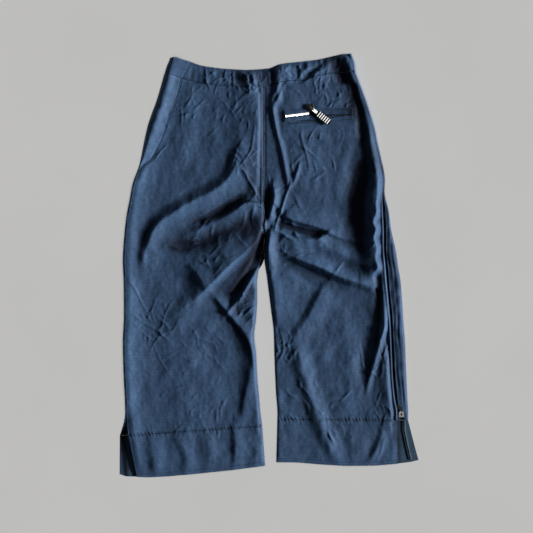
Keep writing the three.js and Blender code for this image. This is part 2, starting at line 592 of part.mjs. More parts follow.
// Pocket slider with its post, the swivelling ring and the hinged link with its rubber grip
function pocketPuller() {
  const frame = new THREE.Group();
  frame.position.set(SLIDER.x, SLIDER.y, POCKET.z);
  pants.add(frame);
  const top = SLIDER.z + SLIDER.thick;
  const capZ = PULL.z + PULL.thick / 2 + 0.3;
  const shield = roundedRectangle(-SLIDER.width / 2, -SLIDER.length / 2, SLIDER.width / 2, SLIDER.length / 2, 3);
  const body = join(
    plate(shield, SLIDER.z, SLIDER.thick),
    upright(SLIDER.post, capZ - top + 0.2, top - 0.1),
    upright(SLIDER.cap, SLIDER.capThick, capZ));
  add('pocket_slider', BRONZE, body, frame).rotation.z = radians(CHAIN.angle + POCKET.angle);

  const swing = new THREE.Group();
  swing.rotation.z = radians(PULL.angle);
  frame.add(swing);
  const low = PULL.z - PULL.thick / 2;
  const arm = plate(roundedRectangle(0, -KNUCKLE.length / 2, PULL.hinge, KNUCKLE.length / 2, 0.6), low, PULL.thick);
  const ring = solid(upright(PULL.eyeOuter, PULL.thick, low, 28))
    .add(solid(arm))
    .add(knuckle(PULL.hinge, PULL.z))
    .subtract(solid(upright(PULL.eye, PULL.thick + 2, low - 1)))
    .subtract(knuckleBore(PULL.hinge, PULL.z));
  add('pocket_pull_ring', METAL, geometryOf(ring), swing);

  const link = puller(5.6, 2, PULL.linkEnd - PULL.hinge, PULL.thick);
  const hinge = new THREE.Vector3(PULL.hinge, 0, PULL.z);
  add('pocket_pull_link', METAL, link, swing).position.copy(hinge);
  const half = GRIP.width / 2;
  const ribPitch = GRIP.length / (GRIP.ribs + 1);
  const parts = [plate(roundedRectangle(0, -half, GRIP.length, half, 2), GRIP.z, GRIP.thick)];
  for (let i = 1; i <= GRIP.ribs; i++) {
    const x = i * ribPitch;
    const rib = roundedRectangle(x - GRIP.ribWidth / 2, 0.8 - half, x + GRIP.ribWidth / 2, half - 0.8, 0.6, 2);
    parts.push(plate(rib, GRIP.z + GRIP.thick - 0.3, GRIP.ribProud + 0.3));
  }
  add('pocket_pull_grip', RUBBER, join(...parts), swing).position.x = GRIP.start;
}

// Side zip's slider at the top of the vent, with its tab down the leg
function sidePuller() {
  const { x, y, width, length, z, thick } = SIDE_SLIDER;
  const frame = new THREE.Group();
  frame.position.set(SIDE_PULL.x, SIDE_PULL.y, SIDE_PULL.z);
  frame.rotation.z = -Math.PI / 2;
  pants.add(frame);
  const [across, back] = [x - SIDE_PULL.x, SIDE_PULL.y - y];
  const base = roundedRectangle(back - length / 2, across - width / 2, back + length / 2, across + width / 2, 1.5);
  const nose = roundedRectangle(back, across, -2.4, KNUCKLE.length / 2, 0.6);
  const lug = roundedRectangle(-4, -KNUCKLE.length / 2, 0.2, KNUCKLE.length / 2, 0.6);
  const body = solid(plate(base, z - SIDE_PULL.z, thick))
    .add(solid(plate(nose, z - SIDE_PULL.z, thick + 0.6)))
    .add(solid(plate(lug, z - SIDE_PULL.z, 2.2)))
    .add(knuckle(0, 0))
    .subtract(knuckleBore(0, 0));
  add('side_slider', METAL, geometryOf(body), frame);
  const hole = new THREE.Path();
  hole.absellipse(7.4, 0, ...SIDE_PULL.hole, 0, Math.PI * 2, true);
  add('side_pull_tab', METAL, puller(SIDE_PULL.width, 1.9, SIDE_PULL.length, PULL.thick, [hole]), frame);
}

frontPanel('front_left_leg', LEFT_LEG);
frontPanel('front_right_leg', RIGHT_LEG);
frontWaistband();
hemBands('left', true);
hemBands('right', false);
backPanel('back_left_leg', LEFT_LEG);
backPanel('back_right_leg', RIGHT_LEG);
backWaistband();
sideZip();
ventTape();
pocket();
pocketPuller();
sidePuller();

export default pants;
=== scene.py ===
"""Track pants laid flat, back side up: cloth, seams, zips, materials, light and camera.

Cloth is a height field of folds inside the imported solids' outline. Hard pieces are the solids with softer
edges.
"""
import json
import math

import bmesh
import bpy
import numpy as np
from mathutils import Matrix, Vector
from mathutils.bvhtree import BVHTree


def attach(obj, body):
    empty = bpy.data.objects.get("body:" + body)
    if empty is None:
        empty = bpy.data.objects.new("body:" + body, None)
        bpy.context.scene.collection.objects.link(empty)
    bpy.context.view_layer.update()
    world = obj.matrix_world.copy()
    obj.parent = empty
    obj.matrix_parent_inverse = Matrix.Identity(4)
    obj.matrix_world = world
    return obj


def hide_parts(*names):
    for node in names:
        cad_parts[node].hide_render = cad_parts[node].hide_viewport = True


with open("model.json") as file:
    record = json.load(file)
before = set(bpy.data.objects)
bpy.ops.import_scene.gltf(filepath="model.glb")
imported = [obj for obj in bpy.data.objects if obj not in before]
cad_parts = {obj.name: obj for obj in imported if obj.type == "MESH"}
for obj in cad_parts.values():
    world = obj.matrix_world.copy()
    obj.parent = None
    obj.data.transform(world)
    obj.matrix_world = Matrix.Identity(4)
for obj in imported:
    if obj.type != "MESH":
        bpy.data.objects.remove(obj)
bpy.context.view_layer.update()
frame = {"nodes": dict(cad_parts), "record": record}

MM = 0.001

# Garment sizes in millimetres, as the solids have them
CLOTH = 0.9
SEAM_GAP = 0.4
EDGE_TOP = 3.2
EDGE_ROLL = 8
SEAM_BLEND = 15
CROTCH_Y = 85
POCKET = dict(x=34, y=312, z=9, angle=1.8, length=142, low=274, high=374, left=32, right=178, fade=14)
ZIP = dict(z=2.9, thick=0.9, coil_half=1.3, coil_top=4.7, top=116, bottom=-300)

# How finely cloth and its height field are divided, and where the field lies, in millimetres
CLOTH_STEP = 2.0
FIELD_STEP = 1.5
FIELD_X, FIELD_Y = (-330, 331), (-460, 461)
PATH_STEP = 4
FLOOR_COLUMNS, TURN_COLUMNS = 8, 33

# Leg sections from waist to hem
LEG_COLUMNS = ("y", "edge", "crest", "crest_z", "turn", "turn_z", "back", "back_z", "inner", "inner_y", "sag")
LEFT_LEG = (
    (391, -219.5, -207, 16.5, -185.4, 7.5, -185, 7.5, -12.9, 375.6, 7),
    (347, -233.5, -217, 16.5, -195.4, 7.5, -195, 7.5, -12.9, 347, 4),
    (303, -251.5, -235, 16.5, -212.4, 7.5, -212, 7.5, -13, 316, 0),
    (263, -261.5, -249, 15.5, -227.4, 7.5, -227, 7.5, -13.3, 280, 0),
    (226, -268.8, -262, 12.5, -246.4, 7, -246, 7, -13.4, 247, 0),
    (205, -274, -271, 10.5, -269, 10, -268.6, 10, -13.4, 220, 0),
    (173, -285.6, -283, 13, -281.9, 13.4, -281.5, 13.6, -14.6, 188, 0),
    (137, -292.5, -290, 13, -288.9, 13.4, -288.5, 13.6, -15.9, 147, 0),
    (108, -298.2, -295.6, 13, -294.4, 13.4, -294, 13.6, -12.6, 116, 0),
    (77, -302.2, -299.6, 13, -298.4, 13.4, -298, 13.6, -11.5, 85, 0),
    (41, -305.3, -302.7, 13, -301.4, 13.4, -301, 13.6, -10.8, 51, 0),
    (7, -306.6, -304, 13, -302.8, 13.4, -302.4, 13.6, -18.9, 7, 0),
    (-30, -305, -302.4, 13, -301.2, 13.4, -300.8, 13.6, -25, -30, 0),
    (-72, -304.5, -302, 13, -300.8, 13.4, -300.4, 13.6, -25, -72, 0),
    (-114, -304.5, -302, 13, -300.8, 13.4, -300.4, 13.6, -27.3, -110, 0),
    (-156, -306.6, -304, 13, -302.8, 13.4, -302.4, 13.6, -31.5, -148, 0),
    (-198, -306, -303.4, 13, -302.2, 13.4, -301.8, 13.6, -27.3, -188, 0),
    (-240, -304.5, -302, 13, -300.8, 13.4, -300.4, 13.6, -25, -232, 0),
    (-282, -302.4, -299.8, 13, -298.6, 13.4, -298.2, 13.6, -21, -278, 0),
    (-320, -302.8, -300.4, 8, -299.4, 8, -297.8, 9, -17.8, -312, 0),
    (-356, -313, -311.2, 3.6, -310, 3.9, -295, 9, -14.7, -336, 0),
)
RIGHT_LEG = (
    (405.4, 180.6, 178.4, 15, 177.2, 15.6, 176.8, 15.6, -12.1, 375.6, -3),
    (352, 201, 198.8, 14, 197.6, 14.4, 197.2, 14.6, -12.1, 346, 0),
    (322, 211, 208.6, 12, 207.4, 12.4, 207, 12.6, -12.2, 316, 0),
    (290, 221, 218.6, 11, 217.4, 11.4, 217, 11.6, -12.4, 284, 0),
    (256, 227.8, 225.4, 10, 224.2, 10.4, 223.8, 10.6, -12.6, 252, 0),
    (222, 235.6, 233.2, 8, 232, 8.4, 231.6, 8.6, -12.6, 220, 0),
    (186, 242.8, 240.6, 6, 239.4, 6.6, 238.8, 6.6, -13.8, 188, 0),
    (150, 242.6, 240.6, 6, 239.8, 6.4, 238.6, 6.6, -15.1, 147, 0),
    (116, 250.6, 248.4, 6, 243.6, 5.8, 238.4, 6, -11.8, 116, 0),
    (75, 256.2, 252, 7, 245.4, 5.8, 240.4, 6, -10.6, 85, 0),
    (33, 265.6, 259, 7.6, 245.6, 5.8, 240.6, 9, -9.7, 44, 0),
    (1, 270.3, 264, 7.6, 248.2, 5.8, 243.2, 12, -9.5, 11, 0),
    (-30, 275.5, 269, 7.6, 250.4, 5.8, 245.4, 14, -4.8, -22, 0),
    (-72, 279, 272, 7.6, 254.6, 5.8, 249.6, 12, -1, -52, 0),
    (-114, 281.8, 275, 7.6, 258.6, 5.8, 253.6, 10.5, 4.5, -95, 0),
    (-156, 285, 278, 7.6, 260.8, 5.8, 255.8, 8.5, 9.5, -136, 0),
    (-198, 286.5, 280, 7.6, 262.8, 5.8, 257.8, 7, 11, -180, 0),
    (-240, 288.5, 282, 7.4, 264.9, 5.8, 259.9, 6, 12.6, -225, 0),
    (-282, 290.5, 284, 6.2, 269.2, 5.4, 264.2, 6, 14.7, -268, 0),
    (-303, 291.9, 286, 5.2, 274, 5, 268.6, 6, 17.5, -302, 0),
    (-324, 291.9, 289.6, 4.4, 286, 4.4, 268.6, 6, 17.5, -322, 0),
)

# Curves across the waist, the waistband's turned ends and the hem bands' corners
WAIST_SEAM = (
    (-222, 402), (-195, 397), (-181, 391.4), (-160, 385), (-136, 380), (-113, 378), (-73, 375.4),
    (-40, 375.6), (-12.5, 376), (12, 381), (36, 387), (71, 388.5), (88, 395), (109, 400),
    (130, 404), (157, 405), (185, 406),
)
WAIST_TOP = (
    (-208, 435), (-195, 436), (-183, 431.6), (-166, 427.4), (-149, 421), (-132, 417), (-99, 412.7),
    (-48, 409.5), (-15, 411.6), (2, 413.7), (19, 421), (36, 424.2), (69, 427.4), (103, 431.6),
    (120, 435.6), (152, 443), (176, 444),
)
FRONT_WAIST_DROP = 8
END_COLUMNS = ("edge", "crest", "crest_z", "turn", "turn_z", "back")
LEFT_BAND_END = (
    (-218.5, -206, 14, -181.4, 7.5, -181),
    (-214, -201, 14, -173.4, 7.5, -173),
    (-207.5, -197, 13, -166.4, 7.5, -166),
)
RIGHT_BAND_END = (
    (181, 178.6, 15, 177.4, 15.6, 177),
    (178.6, 176.2, 13.5, 175, 14, 174.6),
    (173, 170.6, 9, 169.4, 9.6, 169),
)
LEFT_HEM = dict(
    seam=((-313, -357.3), (-14.7, -336)),
    bottom=((-314, -438), (-300, -442.6), (-254, -444), (-212, -442), (-145, -436), (-78, -429), (-10, -420)),
    back_left=(-294.6, -277), back_right=(-14.7, -8.4),
    front_left=(-313.2, -313.6), front_right=(-14.7, -8.4),
)
RIGHT_HEM = dict(
    seam=((17.5, -322), (268.6, -324), (292, -324.2)),
    bottom=((15, -412.6), (57, -412.8), (107, -417), (160, -420), (225, -419.4), (272, -415.4), (296, -412.6),
            (314, -408.5)),
    back_left=(17.5, 15.2), back_right=(268.6, 271),
    front_left=(17.5, 15.2), front_right=(292, 314),
)


# Finer sizes that only the looks need, in millimetres
LEG_LENGTH, LEG_WIDTH = 720, 280
WAISTBAND_WIDTH, WAISTBAND_HEIGHT = 355, 38
HEM_WIDTH, HEM_HEIGHT = 280, 88
FOLD_BLUR = 1.3
SEAM_DIP = dict(depth=1.2, reach=2.5)
TURN_WAVE = 0.5
UNDER_SIDE = dict(low=1.2, shift=0.4)
VENT_Z, VENT_BOTTOM_Z = 9, 6
RIM = dict(at=2.5, reach=2.2, height=2.6, fade=20)
CROTCH_FADE = 25
PLEAT = dict(pitch=8, height=0.7, reach=20, fade=6)
PUCKER = dict(pitch=7, height=0.5, reach=6, starts_above=-30, fade=10)
GATHER = dict(pitch=13, height=0.22)
BAND_EDGE = dict(above=1.5, share=0.7, over=3)
HEM_EDGE = dict(above=0.8, share=0.6, over=4)
VENT_TAPE = dict(z=1.5, thick=0.8, coil=1.4, coil_half=1, coil_top=3.5)
VENT_LINE = ((326, 283), (345, 283), (375, 289), (409, 297))
ZIP_ACROSS = (-6, -4, -2.2, -1.5, -1.2, -0.6, 0, 0.6, 1.2, 1.5, 2.2, 4, 6)
VENT_ACROSS = (-4, -2, -1, -0.2, 0.4, 0.9, 1.4, 1.9, 2.4, 3, 4)
POCKET_TAPE = dict(start=-2, half=11, z=0.9, thick=0.6)
WELTS = (
    ("pocket_welt_upper", ((-2, 3.4), (48, 8), (60, 8), (76, 2), (110, 1), (142, 0.7)), 13),
    ("pocket_welt_lower", ((-2, -3.4), (36, -0.4), (50, 1), (70, -3), (96, -2), (142, -0.7)), -12),
)
WELT = dict(start=-2, width=12, z=0.35, height=2.1, roll=1.2, flat_from=1.5, flat_over=8, flattened=0.75,
            ripple=0.25, thick=0.25, under_low=0.1, under_high=1.0)
CHAIN = dict(start=4, end=50, z=1.2, thick=1.6, angle=5.5, pitch=2.4, tooth=1.1, reach=0.95, length=3.1,
             bar=3.6, bar_sunk=0.3)
PULLER = dict(x=87, y=330, angle=-38.5)
GRIP_RIB = dict(first=22.3, pitch=5, count=6, width=1.9, length=11.8, z=6.7, thick=1.1)

# Small crumples at the knees, seat, side and waist: centre, reach, how many, which way they mostly run in
# degrees
CRUMPLES = (
    (-245, -120, 48, 20, 135), (-46, -84, 32, 24, 50), (-45, 215, 40, 18, 120),
    (34, -178, 30, 22, 70), (224, -200, 44, 24, 80), (234, 60, 50, 22, 60), (-225, 320, 60, 14, 60),
    (90, 225, 70, 18, 100), (-120, 50, 66, 26, 30), (-130, -170, 60, 16, 150),
    (60, 20, 60, 14, 150), (-60, 395, 60, 22, 100), (130, 400, 50, 22, 70),
    (100, -300, 90, 18, 110), (-160, -290, 100, 18, 80), (-150, 330, 60, 14, 60),
    (-60, 330, 50, 14, 80), (40, 395, 40, 14, 80), (140, 350, 34, 14, 110), (240, -300, 40, 12, 90),
    (-110, 402, 36, 24, 60), (-20, 396, 32, 20, 115), (90, 414, 46, 26, 55), (30, 404, 26, 16, 100),
)
CRUMPLE = dict(length=(10, 40), height=(0.6, 2.0), width=(2.4, 4.2), spread=0.7, stray=38, bend=3,
               far_side=1.4, sharp=0.4, seed=17)

# The near-black strip between the legs (painted shade where their shade falls), zip teeth, hard pieces'
# clearance, and stitches with their rows' places
CROTCH_SHADE_STRIP = dict(top=84, bottom_left=-8, bottom_right=14, gap=0.2)
ZIP_TEETH = 1.6
TEETH_DEPTH = 0.45
DRAWN_IN = 0.08
SAME_POINT = 0.01
FLAT_ANGLE, SHARP_EDGE = 2, 35
STITCH = dict(length=2.8, gap=1, width=0.7, flat=0.4, proud=0.3, sunk=0.15, pale=0.35, dropped_from=100)
SEWN = dict(waist=3.5, waist_top=-4, hem=3, hem_bottom=8, pocket_start=-4, pocket_half=14, centre_left=-16.5,
            centre_right=-8.4, zip_side=5, hip_back=4, hip_front=-3)

# Painted shading: the cloth's colour is painted paler where it stands up and darker in the folds, standing in
# for light and shade
PAINTED_SHADING = dict(near=6, far=26, reach=3.2, in_folds=0.2)

# Where cloth is painted darker or paler than that, mostly painted shade and painted highlight: left and right
# reach, sharpness, path of (x, y, change)
SHADES = (
    # painted shade in deep folds, and beside the hem vents
    (11, 10, 0.2, ((24, 88, -0.5), (36, 84, -0.9), (60, 76, -1), (84, 70, -1), (106, 66, -0.8))),
    (9, 8, 0.1, ((-5, 98, -0.6), (-5, 120, -1.2), (0, 145, -1.2), (3, 160, -0.6))),
    (20, 13, 0.1, ((-84, -58, -0.4), (-66, -38, -0.9), (-48, -12, -1), (-33, 10, -1), (-22, 34, -1),
        (-13, 60, -0.7))),
    (16, 14, 0.2, ((-136, 94, -0.3), (-104, 112, -0.8), (-80, 124, -0.9), (-58, 140, -0.5))),
    (5, 5, 0.2, ((-64, 128, -0.6), (-46, 135, -0.8), (-26, 132, -0.6))),
    (9, 12, 0.2, ((-270, -20, -0.3), (-268, 30, -0.8), (-256, 70, -0.7), (-232, 100, -0.5))),
    (40, 26, 0.1, ((206, 0, -0.5), (202, 60, -0.6), (192, 120, -0.6), (200, 180, -0.5),
        (214, 220, -0.3))),
    (9, 9, 0.2, ((238, -8, -0.5), (234, -40, -1), (232, -80, -1), (230, -120, -0.8), (222, -160, -0.4))),
    (6, 6, 0.2, ((230, -146, -0.7), (216, -196, -0.7), (205, -240, -0.6), (201, -268, -0.3))),
    (8, 8, 0.2, ((-112, -72, -0.5), (-84, -108, -0.7), (-60, -140, -0.8), (-44, -168, -0.9),
        (-38, -196, -0.5))),
    (8, 8, 0.2, ((-42, -226, -0.4), (-52, -262, -0.6), (-60, -310, -0.5))),
    (11, 11, 0.1, ((-308, -346, -1), (-304, -390, -1), (-299, -440, -1))),
    (9, 3, 0.2, ((269, -326, -0.7), (270, -370, -0.8), (271, -414, -0.7))),
    # painted shade over broad areas
    (48, 40, 0.0, ((-184, 40, -0.3), (-130, 48, -0.55), (-84, 66, -0.55), (-46, 88, -0.55),
        (-26, 104, -0.3))),
    (60, 40, 0.0, ((130, 440, -0.3), (150, 400, -0.45), (172, 350, -0.45), (196, 290, -0.45),
        (206, 230, -0.3))),
    (26, 22, 0.1, ((136, 436, -0.4), (156, 404, -0.6), (172, 378, -0.5), (196, 330, -0.3))),
    (16, 14, 0.1, ((234, 240, -0.5), (242, 190, -0.9), (242, 150, -0.5))),
    (30, 26, 0.0, ((-72, 400, -0.4), (-44, 398, -0.6), (-20, 396, -0.4), (4, 400, -0.3))),
    (24, 24, 0.0, ((-50, -120, -0.2), (-44, -200, -0.25), (-40, -300, -0.2))),
    (24, 24, 0.0, ((240, -170, -0.35), (245, -240, -0.4), (246, -330, -0.4))),
    (26, 20, 0.0, ((-226, 44, -0.2), (-200, 38, -0.45), (-172, 36, -0.4))),
    (26, 12, 0.0, ((-76, 300, -0.1), (-72, 250, -0.2), (-50, 210, -0.4), (-40, 160, -0.4))),
    (20, 24, 0.0, ((-60, 390, -0.2), (-50, 350, -0.3), (-40, 290, -0.35), (-34, 230, -0.4))),
    (36, 30, 0.0, ((190, 200, -0.35), (178, 140, -0.4), (172, 90, -0.3))),
    (26, 24, 0.0, ((-160, 94, -0.3), (-112, 104, -0.4), (-66, 136, -0.4), (-44, 146, -0.3))),
    (26, 16, 0.0, ((-74, 34, -0.4), (-50, 54, -0.7), (-34, 76, -0.7), (-22, 94, -0.4))),
    (16, 16, 0.0, ((-72, 6, -0.2), (-48, 28, -0.8), (-30, 50, -1), (-22, 74, -0.5))),
    (22, 22, 0.0, ((-44, -50, -0.6), (-60, -74, -0.6), (-76, -94, -0.4))),
    (14, 16, 0.0, ((220, 160, -0.25), (222, 200, -0.4), (222, 250, -0.25))),
    (34, 22, 0.0, ((130, 318, -0.2), (170, 320, -0.35), (206, 322, -0.3))),
    (20, 20, 0.0, ((212, -50, -0.25), (216, -110, -0.25))),
    # painted highlight: paler patches where the cloth catches more light
    (30, 34, 0.0, ((-204, 392, 0.3), (-216, 340, 0.45), (-232, 280, 0.5), (-252, 220, 0.45),
        (-268, 180, 0.3))),
    (24, 50, 0.0, ((-280, 180, 0.25), (-290, 60, 0.15), (-290, -60, 0.25), (-284, -200, 0.3),
        (-276, -340, 0.3))),
    (36, 26, 0.0, ((64, 40, 0.3), (96, 44, 0.4), (124, 34, 0.3))),
    (40, 30, 0.0, ((22, -40, 0.25), (26, -100, 0.25))),
    (26, 26, 0.0, ((70, -200, 0.25), (92, -280, 0.35), (110, -330, 0.3))),
    (14, 10, 0.0, ((268, -60, 0.6), (272, -110, 0.5), (276, -160, 0.3))),
    (20, 16, 0.0, ((22, -270, 0.4), (22, -350, 0.8), (26, -400, 0.3))),
    # darker along the seams, and painted shade in the pocket's closed slit
    (1.6, 1.6, 0.0, ((-312, -357, -0.7), (-16, -336, -0.7))),
    (1.6, 1.6, 0.0, ((18, -322, -0.7), (268, -324, -0.7))),
    (1.6, 1.6, 0.0, ((-16.5, 150, -0.7), (-16.5, 372, -0.7))),
    (1.6, 1.6, 0.0, ((-8, 164, -0.7), (-8, 374, -0.7))),
    (1.8, 1.8, 0.0, ((38, 310, -0.5), (42, 298, -0.8), (70, 299, -0.8), (100, 303, -0.8))),
    (1.8, 1.8, 0.0, ((130, 309, -1.2), (150, 313, -1.2), (176, 316, -0.9))),
)

# Light, floor (its size in metres), and the camera straight above: a pixel is 2.1 mm on the garment
KEY = dict(azimuth=-2, elevation=20, energy=5.9, softness=17)
OVERHEAD = dict(energy=2.02, softness=60)
FILL = 0.045
FLOOR = dict(size=6, z=-0.3, scale=3, paint=((0.3, 0.735), (0.7, 0.765)))
PIXEL = 2.1
PHOTO_PIXELS = 533
CAMERA = dict(x=-5.25, y=-2.1, height=3000)

# Height of unfolded cloth, the lowest it goes, and how far from the pocket zip it has no creases
LOFT = 7
LOWEST_TOP = 3.2
POCKET_CALM = 18
# Slow and fine waves of the cloth: wavelength, how much longer along Y, height, seed
WAVES = ((60, 1.4, 0.45, 3), (26, 1.5, 0.22, 5), (12, 1.4, 0.09, 8), (6, 1.2, 0.03, 11))
WAVE_BAND = 0.45

# Folds: left width, right width, sharpness, path of (x, y, height). Left and right are as seen going along
# the path, and sharpness 1 gives a creased crest.
FOLDS = (
    # left thigh: the long fold, the step under the crotch, the ridge to the knee and the inseam's own folds
    (24, 46, 0.6, ((-259, -28, 1), (-263, 0, 4), (-261, 22, 8), (-251, 50, 10), (-242, 72, 11),
        (-226, 92, 11), (-204, 107, 11), (-184, 121, 11), (-155, 137, 12), (-125, 151, 12),
        (-98, 169, 11), (-80, 190, 9), (-70, 212, 7), (-62, 238, 5), (-54, 262, 2))),
    (20, 60, 0.4, ((-206, 52, 1), (-186, 58, 2), (-166, 66, 4), (-142, 76, 5), (-116, 88, 6),
        (-96, 99, 7), (-78, 109, 8), (-62, 121, 9), (-46, 127, 8), (-26, 124, 6), (-10, 116, 3))),
    (12, 22, 0.0, ((-170, 84, -1), (-142, 96, -2), (-118, 107, -3), (-98, 120, -4), (-80, 131, -4),
        (-62, 142, -4), (-44, 150, -2))),
    (106, 14, 0.6, ((-158, -74, 2), (-138, -56, 8), (-116, -36, 16), (-95, -14, 21), (-74, 6, 22),
        (-52, 24, 19), (-34, 42, 14), (-22, 60, 9), (-14, 84, 4))),
    (30, 26, 0.0, ((-180, 46, -2), (-150, 46, -4), (-110, 64, -5), (-76, 80, -5), (-46, 92, -3))),
    (7, 11, 0.3, ((-96, -108, 2), (-78, -88, 6), (-62, -68, 10), (-49, -48, 10), (-38, -28, 7),
        (-29, -10, 2))),
    (38, 4, 0.2, ((-22, -330, 3), (-25, -280, 4), (-29, -230, 5), (-31, -190, 6), (-35, -150, 6),
        (-31, -112, 5), (-29, -76, 4), (-28, -50, 2))),
    # left knee and shin
    (12, 24, 0.35, ((-32, -206, 2), (-36, -178, 6), (-45, -152, 8), (-58, -132, 8), (-78, -108, 8),
        (-98, -84, 7), (-118, -60, 3))),
    (14, 24, 0.3, ((-58, -326, 2), (-52, -290, 4), (-44, -250, 4), (-36, -216, 2))),
    (13, 26, 0.5, ((-132, -48, 2), (-141, -32, 5), (-153, -14, 5), (-170, 8, 1))),
    (40, 26, 0.0, ((-214, -4, -1), (-184, -26, -2), (-158, -44, -2), (-142, -52, -1))),
    (32, 38, 0.1, ((-214, -140, 1), (-190, -110, 4), (-168, -86, 6), (-147, -62, 6))),
    (70, 70, 0.1, ((-150, -330, 2), (-160, -250, 3), (-170, -180, 3), (-150, -130, 2))),
    # left side and hip
    (9, 48, 0.5, ((-296, -430, 4), (-298, -340, 7), (-300, -250, 9), (-300, -150, 9), (-299, -50, 9),
        (-301, 20, 9), (-297, 70, 9), (-291, 115, 9), (-281, 160, 8), (-267, 205, 6), (-256, 226, 3))),
    (104, 9, 0.3, ((-26, 170, 3), (-24, 240, 7), (-22, 310, 8), (-24, 360, 5))),
    (34, 30, 0.1, ((-150, 372, 1), (-168, 330, 2), (-176, 280, 2), (-186, 230, 1))),
    # right seat and waist
    (7, 12, 0.4, ((40, 165, 3), (36, 190, 5), (28, 232, 5), (21, 262, 5), (15, 285, 6), (11, 305, 7),
        (8, 325, 6), (6, 338, 3))),
    (12, 52, 0.4, ((2, 336, 2), (9, 352, 5), (17, 370, 7), (20, 390, 8), (22, 408, 8), (25, 424, 5))),
    (5, 20, 0.4, ((10, 336, 3), (19, 351, 5), (28, 366, 5), (36, 382, 2))),
    (10, 40, 0.4, ((46, 356, 3), (62, 370, 5), (78, 385, 6), (97, 400, 6), (113, 414, 5), (128, 428, 3))),
    (8, 14, 0.3, ((66, 386, 2), (68, 402, 4), (80, 414, 5), (80, 430, 3))),
    (34, 5, 0.4, ((236, 216, 2), (230, 244, 6), (224, 270, 8), (216, 300, 8), (209, 326, 9),
        (200, 352, 12), (191, 374, 15), (183, 398, 17), (177, 418, 15), (171, 440, 9))),
    (30, 26, 0.0, ((130, 436, -1), (150, 418, -3), (158, 398, -4), (164, 380, -3))),
    (26, 24, 0.0, ((196, 240, -2), (194, 290, -4), (186, 330, -4), (172, 356, -3), (156, 376, -2))),
    (40, 40, 0.0, ((62, 330, 0), (62, 290, 1), (70, 240, 2), (60, 190, 2))),
    (40, 5, 0.3, ((-30, 380, 3), (-32, 396, 5), (-36, 410, 3))),
    # right thigh: the flap's upper crest, the hole under it, its lower crest, and the ridge by the zip
    (54, 5, 0.2, ((26, 110, 4), (34, 102, 7), (52, 94, 9), (80, 86, 9), (110, 77, 8), (136, 63, 6),
        (160, 55, 4))),
    (5, 34, 0.2, ((10, 76, 2), (26, 70, 4), (46, 58, 8), (74, 55, 9), (102, 56, 9), (112, 62, 6))),
    (8, 8, 0.0, ((22, 86, -5), (34, 84, -12), (48, 78, -18), (72, 70, -18), (92, 67, -16),
        (102, 66, -6))),
    (5, 12, 0.4, ((58, 62, 4), (52, 74, 7), (46, 88, 3))),
    (34, 26, 0.1, ((114, 46, 3), (128, 36, 6), (150, 28, 8), (172, 20, 7), (184, 10, 4))),
    (36, 14, 0.4, ((34, 26, 3), (52, 18, 7), (70, 10, 12), (92, 2, 14), (118, -9, 14), (148, -23, 13),
        (184, -35, 11), (214, -45, 6))),
    (20, 24, 0.0, ((30, 8, -2), (54, -4, -5), (84, -20, -6), (112, -32, -5), (140, -42, -2))),
    (66, 14, 0.6, ((220, -40, 4), (217, -22, 12), (226, -4, 16), (222, 16, 18), (225, 36, 19),
        (219, 56, 20), (223, 76, 21), (218, 92, 21), (225, 112, 22), (224, 130, 22), (230, 150, 20),
        (236, 172, 18), (238, 186, 16), (230, 204, 15), (231, 222, 13), (225, 244, 9), (220, 268, 7),
        (216, 296, 4), (210, 330, 2))),
    (50, 26, 0.0, ((190, -4, -3), (190, 40, -6), (188, 110, -6), (198, 190, -5), (206, 240, -2))),
    # crotch: the hole, and the strips on its right
    (10, 10, 0.0, ((-6, 92, -2), (-5, 108, -7), (-4, 126, -9), (0, 142, -7), (0, 158, -3))),
    (8, 16, 0.5, ((-8, 88, 4), (0, 104, 8), (8, 128, 10), (11, 150, 9), (8, 170, 4))),
    (7, 24, 0.3, ((1, -8, 4), (-1, 10, 9), (-2, 30, 11), (0, 52, 10), (4, 74, 4))),
    (60, 8, 0.0, ((6, -14, 2), (10, -50, 4), (14, -90, 4), (20, -126, 2))),
    (12, 12, 0.0, ((-74, -60, -3), (-54, -34, -6), (-38, -10, -7), (-22, 20, -8), (-13, 46, -10),
        (-12, 62, -6))),
    # right knee and shin
    (15, 46, 0.2, ((54, -150, 2), (62, -138, 4), (80, -112, 5), (95, -86, 5), (108, -60, 5),
        (120, -38, 3))),
    (22, 30, 0.2, ((146, -420, 3), (130, -386, 5), (116, -352, 6), (104, -322, 6), (94, -296, 6),
        (86, -270, 6), (78, -240, 6), (70, -212, 6), (65, -188, 5), (60, -158, 2))),
    (10, 12, 0.4, ((205, -264, 2), (212, -232, 5), (222, -196, 7), (232, -160, 8), (240, -132, 5))),
    (25, 12, 0.4, ((236, -150, 4), (243, -124, 12), (247, -92, 16), (248, -52, 18), (244, -16, 16),
        (241, 12, 8))),
    (40, 6, 0.3, ((256, -326, 4), (254, -286, 6), (252, -246, 7), (249, -210, 7), (247, -180, 5))),
    (18, 20, 0.0, ((206, -160, -2), (198, -200, -3), (192, -240, -2))),
    (12, 22, 0.2, ((206, -418, 2), (222, -392, 4), (234, -366, 4), (238, -336, 2))),
    (36, 40, 0.0, ((150, -120, 1), (165, -180, 2), (170, -240, 2), (160, -300, 1))),
    # hem bands
    (12, 30, 0.1, ((-72, -432, 3), (-69, -382, 4), (-72, -332, 2))),
    (18, 32, 0.1, ((-170, -442, 3), (-172, -400, 4), (-190, -356, 1))),
    (20, 30, 0.1, ((-126, -436, 2), (-126, -390, 2), (-130, -360, 1))),
    (14, 24, 0.1, ((-26, -426, 2), (-24, -380, 2), (-22, -345, 1))),
    (18, 30, 0.1, ((-236, -444, 2), (-240, -400, 3), (-246, -350, 1))),
    (14, 30, 0.1, ((180, -420, 2), (176, -380, 2), (170, -330, 1))),
)

